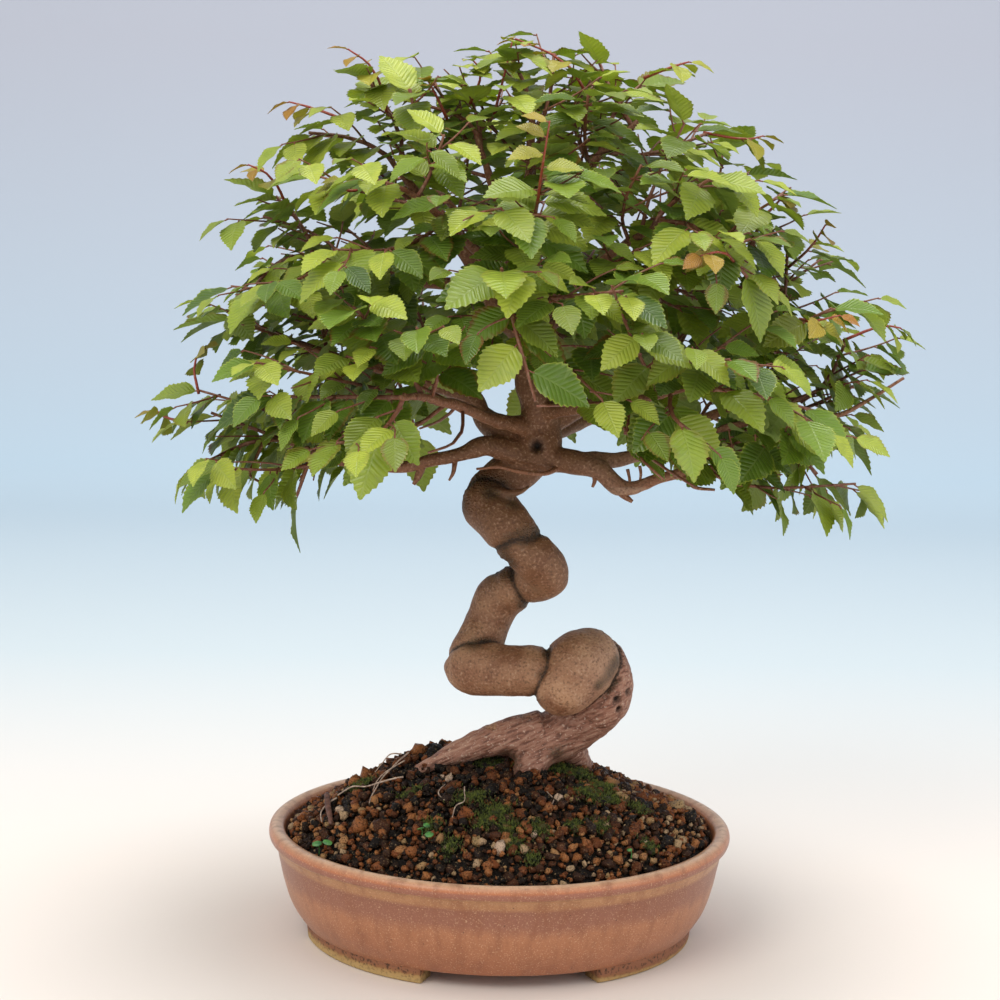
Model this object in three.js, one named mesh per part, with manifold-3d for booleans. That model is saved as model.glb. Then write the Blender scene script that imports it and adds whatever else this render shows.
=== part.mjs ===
// Korean hornbeam bonsai in an oval pot. Millimetres, +Z up, the front looks along -Y.
// The pieces are the pot, two drainage mesh mats, the soil, the trunk with its roots and limbs,
// and the leafy shoots, each a twig fused with its leaves.
import * as THREE from 'three';
import { mergeVertices } from 'three/addons/utils/BufferGeometryUtils.js';
import Module from 'manifold-3d';

const wasm = await Module();
wasm.setup();
const cutTolerance = 0.05;

// Pot
const footHeight = 7;
const potHeight = 58;
const baseHalfX = 101.2;
const baseHalfY = 90.9;
const rimFlare = 18.8;
const lipThickness = 8.6;
const potFloor = 13;
const potSides = 28;
const footSpanDegrees = 54;
// The feet stand this far round from the middle of the front and of the back
const footFromMiddle = 52.8;
const footTurnDegrees = 4;
const footDepth = 13;
const drainRadius = 8;
const drainOffset = 42;
const matSide = 26;
const matThickness = 1;

// Soil
const fitGap = 0.35;
const soilEdge = 53;
const soilRise = 32;
const soilRings = [0.2, 0.42, 0.62, 0.8, 0.93];
// Each knoll is [x, y, height, half width]
const knolls = [[-36, 20, 8, 24], [40, 18, 5, 12], [-84, -6, 3, 14], [78, 22, -9, 24], [-76, 52, -6, 26]];

// Crown envelope: an ellipsoid whose upper half the shoot tips lie on
const crownCentre = new THREE.Vector3(12, 0, 268);
const crownRadii = new THREE.Vector3(188, 150, 193);

// Leaves
const leafLength = 31;
const leafWidth = 0.62;
// A blade thins from this thickness at its rib to its edge
const ribThickness = 1.3;
// Half outline of a blade from its stalk: [share of the length, share of the half width]
const leafOutline = [[0.2, 0.42], [0.42, 1.0], [0.5, 0.8], [0.75, 0.62]];
const leafArch = 0.2;
const leafFold = 0.22;
const ribKnots = [0.3, 0.68];
const leafSpacing = 11;
// A last leaf reaches this far past its twig, and less over the top, where it arches sideways
const leafReach = 23;
const leafReachTop = 9;
const leavesMost = 6;
const lastLeafInset = 2.6;
const leafRoom = 6;
const woodRoom = 3.2;
const leafTries = 24;
// No leaf hangs in front of the top of the trunk: half width, highest z and rearmost y of the opening
const trunkView = { middle: 8, halfWidth: 48, top: 276, rear: 12 };

// Coiled trunk as rounded lobes, lowest first: [x, y, z, radius] along each
const trunkLobes = [
  [[6, 0, 103, 7.5], [15, 1, 99, 11.5], [31, 4, 105, 14], [44, 0, 115.5, 14], [53.5, -5, 126, 13.4]],
  [[54.5, -6, 129, 13], [54.5, -5, 137, 12.6], [50, -3, 145, 13.6]],
  [[44, -7, 145, 18], [38, -13, 143, 18.6], [31, -16, 135.5, 16.4]],
  [[33, -15, 138, 12.4], [17, -13, 141, 13.4], [3, -10, 140.6, 13.6], [-14.5, -2, 140.5, 15]],
  [[-15, 3, 146, 13.4], [-12, 6, 152, 12.6], [-8, 9, 162, 11.8], [-3, 9, 174, 12.2], [5, 5, 182, 11.8]],
  [[3, 7, 182, 10.4], [14, 1, 186, 11.2], [21, -5, 190, 11.7]],
  [[22.6, -6, 191, 11.4], [17, -11, 199, 11.6], [5, -13, 208, 11.6]],
  [[7, -11, 208, 12.4], [-0.5, -11, 217, 13.6], [-9.5, -3, 226, 14]],
  [[-10, -1, 227, 13], [-4, 7, 236, 11.4], [7, 8, 244, 11.6], [16, 3, 257, 11.8]],
];
const lobeSides = 10;

// Roots, which taper into the soil
const roots = [
  [[8, 0, 103, 8.6], [-6, -1, 101, 7.8], [-19, -2, 96, 6], [-32, -4, 91, 4.4], [-44, -6, 85, 2.4]],
  [[20, 1, 98, 12], [15.5, -4, 89, 8.8], [12, -7, 80, 6.4], [11, -8, 69, 5]],
  [[31, 8, 101, 9.4], [40, 20, 88, 6.6], [47, 32, 77, 4]],
  [[12, 5, 100, 8], [2, 18, 89, 6.4], [-6, 30, 80, 4]],
];

// Upper trunk and limbs: [x, y, z, radius]
const leader = [
  [15, 2, 248, 13], [17, 1, 262, 10.8], [15, -1, 277, 9.5], [12, -2, 290, 9], [9, 0, 307, 8.4],
  [5, 2, 330, 7.4], [3, 3, 349, 6.2], [6, 0, 373, 4.3], [9, -3, 395, 2.9], [9, -4, 422, 1.6],
];
const limbs = {
  lowRight: [[17, 0, 249, 8], [31, -4, 249, 6.1], [46, -10, 246, 5.1], [60, -14, 237, 3.8],
    [78, -18, 243, 2.8], [97, -20, 248, 2.3], [117, -22, 249, 1.5]],
  farRight: [[38, -7, 249, 4.8], [62, 0, 251, 3.6], [80, 6, 256, 2.8], [94, 8, 267, 2.6],
    [119, 6, 278, 2], [150, 2, 282, 1.4]],
  midRight: [[18, 2, 266, 5.1], [46, 8, 278, 3.6], [68, 10, 287, 2.8], [98, 10, 293, 2.3],
    [126, 8, 305, 1.4]],
  highRight: [[9, 1, 312, 4.4], [42, 4, 328, 3.2], [76, 2, 340, 2.4], [112, 0, 348, 1.4]],
  crownRight: [[5, 2, 343, 4], [17, -4, 360, 3], [31, -6, 385, 2.5], [45, -6, 405, 2], [62, -4, 420, 1.4]],
  lowLeft: [[12, 0, 251, 7], [-10, -6, 256, 5.1], [-23, -8, 252, 4.1], [-38, -10, 249, 3.5],
    [-55, -12, 245, 3], [-84, -14, 248, 2.3], [-112, -14, 258, 1.4]],
  midLeft: [[10, 3, 254, 7.4], [-11, 6, 268, 5.6], [-19, 8, 280, 4.6], [-40, 10, 285, 3.3],
    [-66, 8, 293, 2.6], [-100, 4, 303, 1.4]],
  highLeft: [[8, 2, 308, 5.6], [-9, 6, 329, 5.1], [-19, 8, 347, 4.1], [-41, 4, 374, 2.8], [-62, 0, 400, 1.4]],
  sideLeft: [[-13, 7, 337, 4], [-44, 2, 338, 2.8], [-76, -4, 346, 2], [-106, -6, 350, 1.4]],
  crownLeft: [[4, 1, 356, 3.4], [-9, -8, 384, 2.2], [-18, -12, 412, 1.4]],
  frontLeft: [[11, -2, 266, 5], [-8, -24, 272, 3.6], [-24, -50, 281, 2.8], [-40, -80, 288, 2], [-50, -102, 290, 1.4]],
  frontRight: [[16, -2, 274, 5], [34, -24, 278, 3.6], [50, -50, 283, 2.7], [68, -76, 290, 2], [82, -95, 296, 1.4]],
  frontMid: [[11, -2, 298, 4.6], [8, -26, 313, 3.3], [4, -52, 326, 2.5], [2, -82, 334, 1.8], [0, -98, 335, 1.4]],
  frontHighLeft: [[4, 1, 334, 4], [-14, -22, 352, 2.8], [-34, -46, 372, 2], [-50, -64, 384, 1.4]],
  frontHighRight: [[7, 0, 322, 4], [28, -22, 338, 2.8], [52, -42, 358, 2.1], [72, -58, 372, 1.4]],
  backLeft: [[13, 4, 260, 5.4], [-10, 28, 268, 3.8], [-32, 54, 278, 2.8], [-54, 82, 286, 2], [-66, 100, 288, 1.4]],
  backRight: [[17, 4, 261, 5.4], [40, 30, 266, 3.8], [62, 54, 276, 2.8], [86, 76, 286, 2], [100, 88, 290, 1.4]],
  backMid: [[13, 1, 290, 4.8], [16, 26, 302, 3.4], [18, 54, 312, 2.6], [20, 84, 320, 1.9], [20, 100, 322, 1.4]],
  backHighLeft: [[4, 4, 332, 4], [-12, 26, 352, 2.8], [-30, 46, 374, 2], [-44, 60, 388, 1.4]],
  backHighRight: [[4, 3, 346, 3.8], [22, 24, 364, 2.6], [42, 42, 382, 2], [56, 54, 394, 1.4]],
};
const leaderSides = 8;
const rootSides = 6;
const limbSides = 5;

// Where the leaves end on the shoots that draw the outline of the crown, clockwise from the low left
const outlineTips = [
  [-84, -22, 238], [-128, -10, 222], [-168, -14, 247], [-174, 0, 270], [-162, -4, 326], [-148, 4, 345],
  [-133, 0, 392], [-112, -4, 424], [-80, -8, 452], [-46, 2, 436], [-24, -4, 443], [-2, -12, 458],
  [20, 4, 462], [44, 6, 458], [66, -4, 448], [104, 2, 427], [138, -4, 386], [156, 2, 369],
  [192, -4, 320], [200, -2, 294], [192, 4, 268], [182, 4, 240], [158, -6, 238], [122, -24, 240],
];
// Rows of further shoots: [elevation in degrees at the front, at the back, shoots a side]
const coverRows = [[5, -5, 5], [26, 22, 5], [47, 45, 3], [67, 66, 2]];
const thickestSeat = 4.6;
const twigSides = 3;
const twigSteps = 3;
const twigRoot = 1.3;
const twigTip = 0.8;

// Colours, with roughness
const glaze = { color: 0xa87a63, roughness: 0.62 };
const mesh = { color: 0x2c2f2c, roughness: 0.7 };
const earth = { color: 0x3d2b20, roughness: 0.95 };
const bark = { color: 0x8f7765, roughness: 0.85 };
const matureLeaf = { color: 0x4f7a2a, roughness: 0.5 };
const youngLeaf = { color: 0x93a83c, roughness: 0.5 };

const UP = new THREE.Vector3(0, 0, 1);
const vector = (values) => new THREE.Vector3(values[0], values[1], values[2]);
const radians = THREE.MathUtils.degToRad;

// Repeatable draws between 0 and 1 from a whole-number seed
function draws(seed) {
  let state = seed >>> 0;
  return () => {
    state = (state + 0x6d2b79f5) >>> 0;
    let t = state;
    t = Math.imul(t ^ (t >>> 15), t | 1);
    t ^= t + Math.imul(t ^ (t >>> 7), t | 61);
    return ((t ^ (t >>> 14)) >>> 0) / 4294967296;
  };
}

// A closed solid from positions and triangles, and back
function solid(positions, triangles) {
  const geometry = new THREE.BufferGeometry();
  geometry.setAttribute('position', new THREE.Float32BufferAttribute(positions, 3));
  geometry.setIndex(triangles);
  return solidOf(geometry);
}

function solidOf(geometry) {
  geometry.deleteAttribute('normal');
  geometry.deleteAttribute('uv');
  const merged = mergeVertices(geometry, 1e-4);
  return new wasm.Manifold(new wasm.Mesh({
    numProp: 3,
    vertProperties: new Float32Array(merged.attributes.position.array),
    triVerts: new Uint32Array(merged.index.array),
  }));
}

// Details that a cut leaves smaller than the tolerance are merged
function geometryOf(manifold) {
  const result = manifold.simplify(cutTolerance).getMesh();
  const geometry = new THREE.BufferGeometry();
  geometry.setAttribute('position', new THREE.BufferAttribute(new Float32Array(result.vertProperties), 3));
  geometry.setIndex(new THREE.BufferAttribute(new Uint32Array(result.triVerts), 1));
  geometry.computeVertexNormals();
  return geometry;
}

const joined = (solids) => solids.reduce((sum, next) => sum.add(next));

// A closed body through rings of equally many points, flat at both ends
function bodyOfRings(rings) {
  const sides = rings[0].length;
  const triangles = [];
  for (let r = 0; r + 1 < rings.length; r += 1) {
    for (let s = 0; s < sides; s += 1) {
      const a = r * sides + s;
      const b = r * sides + ((s + 1) % sides);
      triangles.push(a, b, b + sides, a, b + sides, a + sides);
    }
  }
  const last = (rings.length - 1) * sides;
  for (let s = 1; s + 1 < sides; s += 1) {
    triangles.push(0, s + 1, s);
    triangles.push(last, last + s, last + s + 1);
  }
  return solid(rings.flat().flatMap((p) => [p.x, p.y, p.z]), triangles);
}

// A point and radius on the smooth curve through [x, y, z, radius] points, t from 0 to 1
function onCurve(points, t) {
  const place = Math.min(t, 1) * (points.length - 1);
  const i = Math.min(Math.floor(place), points.length - 2);
  const f = place - i;
  const mirror = (p, q) => p.map((value, k) => 2 * value - q[k]);
  const before = i > 0 ? points[i - 1] : mirror(points[0], points[1]);
  const after = i + 2 < points.length ? points[i + 2] : mirror(points[i + 1], points[i]);
  const mixed = points[i].map((p1, k) => {
    const [p0, p2, p3] = [before[k], points[i + 1][k], after[k]];
    return 0.5 * (2 * p1 + (p2 - p0) * f + (2 * p0 - 5 * p1 + 4 * p2 - p3) * f * f
      + (3 * p1 - p0 - 3 * p2 + p3) * f * f * f);
  });
  return { point: vector(mixed), radius: mixed[3] };
}

// A tapering round stem along a curve; grown adds to its radius, round ends it in domes
function stem(points, sides, steps, { grown = 0, round = false } = {}) {
  const stations = [];
  for (let k = 0; k <= steps; k += 1) {
    const { point, radius } = onCurve(points, k / steps);
    stations.push({ point, radius: radius + grown, t: k / steps });
  }
  const tangentAt = (t) => onCurve(points, Math.min(t + 0.02, 1)).point
    .sub(onCurve(points, Math.max(t - 0.02, 0)).point).normalize();
  stations.forEach((station) => { station.tangent = tangentAt(station.t); });
  if (round) {
    const first = stations[0];
    const end = stations[stations.length - 1];
    const dome = (from, sign, degrees) => ({
      point: from.point.clone().addScaledVector(from.tangent, sign * from.radius * Math.sin(radians(degrees))),
      radius: from.radius * Math.cos(radians(degrees)),
      tangent: from.tangent,
    });
    stations.unshift(dome(first, -1, 74), dome(first, -1, 42));
    stations.push(dome(end, 1, 42), dome(end, 1, 74));
  }
  let across = new THREE.Vector3(0.31, 0.95, 0.05);
  const rings = stations.map(({ point, radius, tangent }) => {
    across = across.clone().addScaledVector(tangent, -across.dot(tangent)).normalize();
    const along = new THREE.Vector3().crossVectors(tangent, across);
    return Array.from({ length: sides }, (_, s) => {
      const angle = (2 * Math.PI * s) / sides;
      return point.clone().addScaledVector(across, radius * Math.cos(angle))
        .addScaledVector(along, radius * Math.sin(angle));
    });
  });
  return bodyOfRings(rings);
}

// A ring of the oval pot, out from its base outline by an offset
function oval(offset, height, heightAt = null) {
  return Array.from({ length: potSides }, (_, s) => {
    const angle = (2 * Math.PI * s) / potSides;
    const x = (baseHalfX + offset) * Math.cos(angle);
    const y = (baseHalfY + offset) * Math.sin(angle);
    return new THREE.Vector3(x, y, heightAt ? heightAt(x, y) : height);
  });
}

const lipInside = rimFlare - lipThickness;
const wallInside = [[-4, potFloor], [3.4, 20], [8.4, 44], [lipInside, potHeight - 4]];

function makePot() {
  const outside = [[-4, footHeight], [1.6, footHeight + 1.8], [7.4, 18], [11, 29], [13.4, 40], [14.6, 46.5],
    [18, 48.5], [rimFlare, 52], [18.1, 55.8], [15.2, potHeight], [11.6, potHeight - 1]];
  const shell = bodyOfRings([...outside, ...wallInside.slice().reverse()].map(([e, z]) => oval(e, z)));
  const feet = [0, 1, 2, 3].map((quarter) => {
    const middle = (quarter < 2 ? 90 : 270) + (quarter % 2 ? 1 : -1) * footFromMiddle + footTurnDegrees;
    const steps = 5;
    const rings = Array.from({ length: steps + 1 }, (_, k) => {
      const angle = radians(middle + footSpanDegrees * (k / steps - 0.5));
      const corner = (offset, z) => new THREE.Vector3(
        (baseHalfX + offset) * Math.cos(angle), (baseHalfY + offset) * Math.sin(angle), z);
      return [corner(-footDepth, 0), corner(-footDepth, footHeight + 2), corner(0, footHeight + 2), corner(0, 0)];
    });
    return bodyOfRings(rings);
  });
  const drain = new THREE.CylinderGeometry(drainRadius, drainRadius, 4 * potFloor, 12);
  drain.rotateX(Math.PI / 2);
  const drains = [-drainOffset, drainOffset].map((x) => solidOf(drain.clone().translate(x, 0, 0)));
  return joined([shell, ...feet]).subtract(joined(drains));
}

const soilHalfX = baseHalfX + lipInside;
const soilHalfY = baseHalfY + lipInside;

// Height of the mound over a point of the pot
function soilHeight(x, y) {
  const share = Math.min(Math.hypot(x / soilHalfX, y / soilHalfY), 1);
  const lumps = 1.1 * Math.sin(0.17 * x + 0.9) * Math.cos(0.19 * y) + 0.8 * Math.sin(0.31 * x - 0.23 * y);
  const raised = knolls.reduce((sum, [kx, ky, high, wide]) => (
    sum + high * Math.exp(-((x - kx) ** 2 + (y - ky) ** 2) / (2 * wide * wide))), 0);
  return soilEdge + soilRise * (1 - share ** 3) + (raised + lumps) * (1 - share ** 4);
}

function makeSoil() {
  const bottom = potFloor + matThickness + 2 * fitGap;
  const side = [[wallInside[0][0] - 1, bottom], [wallInside[1][0], wallInside[1][1]],
    [wallInside[2][0], wallInside[2][1]], [lipInside - 0.2, soilEdge]];
  const walls = side.map(([e, z]) => oval(e - fitGap - 0.1, z));
  const edge = walls[walls.length - 1];
  const crest = new THREE.Vector3(0, 0, soilHeight(0, 0));
  const top = soilRings.slice().reverse().map((share) => edge.map((p) => (
    new THREE.Vector3(p.x * share, p.y * share, soilHeight(p.x * share, p.y * share)))));
  const heart = edge.map((p) => crest.clone().add(new THREE.Vector3(p.x * 0.02, p.y * 0.02, 0)));
  const mound = bodyOfRings([...walls, ...top, heart]);
  return mound.subtract(joined(makeButt(fitGap + 0.1)));
}

// What goes into the soil: the roots and the lowest lobe
function makeButt(grown) {
  return [
    stem(trunkLobes[0], lobeSides, trunkLobes[0].length, { grown, round: true }),
    ...roots.map((points) => stem(points, rootSides, points.length + 1, { grown })),
  ];
}

function makeTrunk() {
  const lobes = trunkLobes.slice(1).map((points) => (
    stem(points, lobeSides, points.length, { round: true })));
  const branches = Object.values(limbs).map((points) => stem(points, limbSides, points.length - 1));
  return joined([...makeButt(0), ...lobes, stem(leader, leaderSides, leader.length - 1), ...branches]);
}

// Where leaves and twigs may not come: points of the wood with their radii, about 4 mm apart
function woodPoints(points) {
  return points.slice(1).flatMap((end, k) => {
    const start = points[k];
    const count = Math.ceil(vector(start).distanceTo(vector(end)) / 4);
    return Array.from({ length: count }, (_, j) => {
      const mixed = start.map((value, i) => value + ((end[i] - value) * (j + 1)) / count);
      return { point: vector(mixed), radius: mixed[3] };
    });
  });
}

const clearOf = (point, wood, gap) => (
  wood.every((other) => point.distanceTo(other.point) > other.radius + gap));

// A point on a twig, which leaves its limb squarely and bends to its tip in a few straight steps
function onTwig(twig, t) {
  const arc = (s) => twig.from.clone().multiplyScalar((1 - s) ** 2)
    .addScaledVector(twig.bend, 2 * s * (1 - s)).addScaledVector(twig.tip, s * s);
  const knot = Math.min(Math.floor(t * twigSteps), twigSteps - 1);
  const point = arc(knot / twigSteps).lerp(arc((knot + 1) / twigSteps), t * twigSteps - knot);
  return { point, radius: twigRoot + (twigTip - twigRoot) * t };
}

const twigPoints = (twig) => {
  const count = Math.ceil(twig.length / 4);
  return Array.from({ length: count + 1 }, (_, k) => onTwig(twig, k / count));
};

// Tips spread over the front and back of the crown, between those of the outline
function coverTips() {
  const tips = [];
  coverRows.forEach(([frontRise, backRise, count], row) => {
    [-1, 1].forEach((face) => {
      const elevation = face < 0 ? frontRise : backRise;
      for (let k = 0; k < count; k += 1) {
        const next = draws(9000 + 100 * row + 10 * (face + 1) + k);
        const shift = row % 2 ? 0.35 : -0.05;
        const azimuth = radians(30 + (120 * (k + 0.25 + shift + 0.2 * next())) / (count - 0.3));
        const rise = radians(elevation + 8 * (next() - 0.5));
        tips.push([
          crownCentre.x + crownRadii.x * Math.cos(rise) * Math.cos(azimuth),
          crownCentre.y + crownRadii.y * Math.cos(rise) * Math.sin(azimuth) * face,
          crownCentre.z + crownRadii.z * Math.sin(rise),
        ]);
      }
    });
  });
  return tips;
}

const leafReachAt = (outward) => (
  THREE.MathUtils.lerp(leafReach, leafReachTop, Math.max(outward.z, 0) ** 3));

// Each tip is fed from the nearest free place on a limb, by the first bend that clears the wood
function growTwigs(wood) {
  const seats = [];
  [...Object.values(limbs), leader].forEach((limb) => {
    const line = woodPoints(limb);
    line.forEach((station, k) => {
      if (k < 0.4 * line.length || k === 0 || station.radius > thickestSeat) return;
      const before = line[k - 1].point;
      const tangent = station.point.clone().sub(before).normalize();
      seats.push({ ...station, limb, tangent, end: k === line.length - 1, taken: false });
    });
  });
  return [...outlineTips, ...coverTips()].map((values, index) => {
    const target = vector(values);
    const outward = target.clone().sub(crownCentre).normalize();
    const tip = target.addScaledVector(outward, -leafReachAt(outward));
    const near = seats.filter((seat) => !seat.taken)
      .map((seat) => ({ seat, reach: tip.distanceTo(seat.point) }))
      .filter(({ reach }) => reach > 22)
      .sort((a, b) => a.reach - b.reach).slice(0, 14);
    for (const { seat, reach } of near) {
      const toTip = tip.clone().sub(seat.point).normalize();
      const square = seat.end ? seat.tangent.clone()
        : toTip.clone().addScaledVector(seat.tangent, -toTip.dot(seat.tangent)).normalize();
      const from = seat.point.clone().addScaledVector(square, seat.end ? fitGap + 0.15 : 0);
      for (const lift of [0.14, 0.05, 0.24, -0.08, 0.34]) {
        const bend = from.clone().addScaledVector(square, (0.16 + lift) * reach)
          .addScaledVector(toTip, 0.12 * reach);
        const twig = { from, bend, tip: tip.clone(), length: reach, index, seat, square };
        const clear = twigPoints(twig).every(({ point }) => (
          point.distanceTo(from) < seat.radius + 6 || clearOf(point, wood, woodRoom)));
        if (clear && toTip.dot(square) > 0.15) {
          seat.taken = true;
          seats.forEach((other) => {
            if (other.point.distanceTo(seat.point) < 7) other.taken = true;
          });
          wood.push(...twigPoints(twig));
          return twig;
        }
      }
    }
    return null;
  }).filter((twig) => twig);
}

// The frame of a leaf on a twig: its root, length, direction, side and face
function leafFrame(twig, t, side, next) {
  const { point } = onTwig(twig, t);
  const ahead = onTwig(twig, Math.min(t + 0.02, 1)).point.sub(onTwig(twig, t - 0.02).point).normalize();
  const outward = point.clone().sub(crownCentre);
  outward.divide(crownRadii).divide(crownRadii).normalize();
  const level = Math.abs(ahead.z) < 0.85 ? UP : new THREE.Vector3(outward.x, outward.y, 0.3).normalize();
  const aside = new THREE.Vector3().crossVectors(level, ahead).normalize();
  const steep = Math.max(ahead.z, 0) ** 2;
  const spread = radians(side === 0 ? 12 * (next() - 0.5) + 65 * steep : 48 + 22 * next());
  const low = THREE.MathUtils.clamp((crownCentre.z - point.z) / 40, 0, 1);
  const droop = 0.25 + 0.45 * next() + 0.6 * low;
  const axis = ahead.clone().multiplyScalar(Math.cos(spread))
    .addScaledVector(aside, (side || 1) * Math.sin(spread)).addScaledVector(UP, -droop)
    .addScaledVector(outward, 0.25 * next()).normalize();
  const face = UP.clone().multiplyScalar(0.3 + 0.35 * next()).addScaledVector(outward, 0.45 + 0.55 * next())
    .addScaledVector(aside, 0.5 * (next() - 0.5));
  face.addScaledVector(axis, -face.dot(axis)).normalize();
  const across = new THREE.Vector3().crossVectors(face, axis);
  const length = leafLength * (0.82 + 0.28 * next());
  return { root: point, axis, across, face, length };
}

// A point of a blade: u along it, w across it from -1 to 1, lift off its face
function onLeaf(leaf, u, w, lift = 0) {
  const halfWidth = 0.5 * leafWidth * leaf.length;
  const height = leaf.length * (leafFold * leafWidth * 0.5 * Math.abs(w) - leafArch * u * u) + lift;
  return leaf.root.clone().addScaledVector(leaf.axis, u * leaf.length)
    .addScaledVector(leaf.across, w * halfWidth).addScaledVector(leaf.face, height);
}

const leafChecks = [[0.16, 0], [0.28, -0.5], [0.28, 0.5], [0.4, -0.95], [0.4, 0], [0.4, 0.95], [0.54, -0.45],
  [0.54, 0.45], [0.62, -0.75], [0.62, 0.75], [0.68, 0], [0.8, -0.4], [0.8, 0.4], [0.98, 0]];

const hidesTrunk = (point) => Math.abs(point.x - trunkView.middle) < trunkView.halfWidth
  && point.z < trunkView.top && point.y < trunkView.rear;

// One leaf at a place of a twig, or none where there is no room for it
function placeLeaf(twig, t, side, seed, wood, leaves) {
  const next = draws(seed);
  for (let attempt = 0; attempt < leafTries; attempt += 1) {
    const leaf = leafFrame(twig, t, side, next);
    const checks = leafChecks.map(([u, w]) => onLeaf(leaf, u, w));
    const clear = checks.every((point, k) => !hidesTrunk(point)
      && clearOf(point, wood, k === 0 ? 1.4 : woodRoom)
      && leaves.every((other) => other.checks.every((taken) => taken.distanceTo(point) > leafRoom)));
    if (clear) return { ...leaf, checks };
  }
  return null;
}

// A blade is thick along its rib and sharp all round its edge
function bladeSolid(leaf) {
  const outline = [[0, 0], ...leafOutline, [1, 0], ...leafOutline.slice().reverse().map(([u, w]) => [u, -w])];
  const rib = [1, -1].flatMap((face) => ribKnots.map((u) => onLeaf(leaf, u, 0, face * 0.5 * ribThickness)));
  const points = [...outline.map(([u, w]) => onLeaf(leaf, u, w)), ...rib];
  const count = outline.length;
  const [low, high, lowUnder, highUnder] = rib.map((_, k) => count + k);
  const triangles = [];
  for (let k = 0; k < count; k += 1) {
    const n = (k + 1) % count;
    const near = k < 2 || k > count - 3;
    triangles.push(n, k, near ? low : high, k, n, near ? lowUnder : highUnder);
  }
  triangles.push(2, low, high, lowUnder, 2, highUnder);
  triangles.push(high, low, count - 2, lowUnder, highUnder, count - 2);
  return solid(points.flatMap((p) => [p.x, p.y, p.z]), triangles);
}

function twigSolid(twig) {
  const ring = ({ point, radius }, tangent, across) => {
    const along = new THREE.Vector3().crossVectors(tangent, across);
    return Array.from({ length: twigSides }, (_, s) => {
      const angle = (2 * Math.PI * s) / twigSides;
      return point.clone().addScaledVector(across, radius * Math.cos(angle))
        .addScaledVector(along, radius * Math.sin(angle));
    });
  };
  let across = new THREE.Vector3(0.15, 0.3, 1).normalize();
  const rings = Array.from({ length: twigSteps + 1 }, (_, k) => {
    const t = k / twigSteps;
    const tangent = k === 0 ? twig.square : onTwig(twig, Math.min(t + 0.01, 1)).point
      .sub(onTwig(twig, t - 0.01).point).normalize();
    across = across.clone().addScaledVector(tangent, -across.dot(tangent)).normalize();
    return ring(onTwig(twig, t), tangent, across);
  });
  const body = bodyOfRings(rings);
  if (twig.seat.end) return body;
  const { limb } = twig.seat;
  const sides = limb === leader ? leaderSides : limbSides;
  return body.subtract(stem(limb, sides, limb.length - 1, { grown: fitGap + 0.05 }));
}

// All the leafy shoots: twigs first, then leaves from each tip backwards, alternating sides, and
// last the leaves half way between those, on the other sides
function growShoots() {
  const wood = [...trunkLobes, leader, ...Object.values(limbs)].flatMap(woodPoints);
  const shoots = growTwigs(wood).map((twig) => ({ twig, leaves: [] }));
  const leaves = [];
  [1, -1].forEach((round) => {
    shoots.forEach((shoot) => {
      const { twig } = shoot;
      const count = Math.min(leavesMost, 1 + Math.floor((0.86 * twig.length) / leafSpacing));
      for (let k = round > 0 ? 0 : 1; k < count; k += 1) {
        const fromTip = k ? (round > 0 ? k : k - 0.5) * leafSpacing : lastLeafInset;
        const side = k === 0 ? 0 : (k % 2 ? round : -round);
        const seed = 1000 * (twig.index + 1) + k + (round > 0 ? 0 : 500);
        const leaf = placeLeaf(twig, 1 - fromTip / twig.length, side, seed, wood, leaves);
        if (leaf) {
          leaves.push(leaf);
          shoot.leaves.push(leaf);
        }
      }
    });
  });
  return shoots;
}

const model = new THREE.Group();

function place(name, manifold, look) {
  const material = new THREE.MeshStandardMaterial({ ...look, metalness: 0 });
  const piece = new THREE.Mesh(geometryOf(manifold), material);
  piece.name = name;
  model.add(piece);
}

place('pot', makePot(), glaze);
['left', 'right'].forEach((side, k) => {
  const mat = new THREE.BoxGeometry(matSide, matSide, matThickness);
  const x = k ? drainOffset : -drainOffset;
  place(`drain_mesh_${side}`, solidOf(mat.translate(x, 0, potFloor + fitGap + matThickness / 2)), mesh);
});
place('soil', makeSoil(), earth);
place('trunk', makeTrunk(), bark);
growShoots().forEach(({ twig, leaves }, k) => {
  const body = joined([twigSolid(twig), ...leaves.map(bladeSolid)]);
  const young = twig.index < outlineTips.length;
  place(`shoot_${String(k + 1).padStart(2, '0')}`, body, young ? youngLeaf : matureLeaf);
});

// The origin is the middle of the underside of the whole plant and pot
const bounds = new THREE.Box3().setFromObject(model);
const middle = bounds.getCenter(new THREE.Vector3());
model.position.set(-middle.x, -middle.y, 0);

export default model;
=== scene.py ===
# %% [markdown]
# # A potted korean hornbeam, grown leaf by leaf
# The tree on the table is half a metre tall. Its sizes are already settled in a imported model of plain
# solids, the frame. This lesson dresses that frame: every step below replaces one solid by a finer
# surface in the same place, and gives it the finish of bark, leaf, soil or glazed clay.
# Lengths are in millimetres, measured from the middle of the pot's underside, until a mesh is made.

# %% Load the frame
import math

import bpy
import numpy as np
from mathutils import Matrix, Vector


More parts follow.
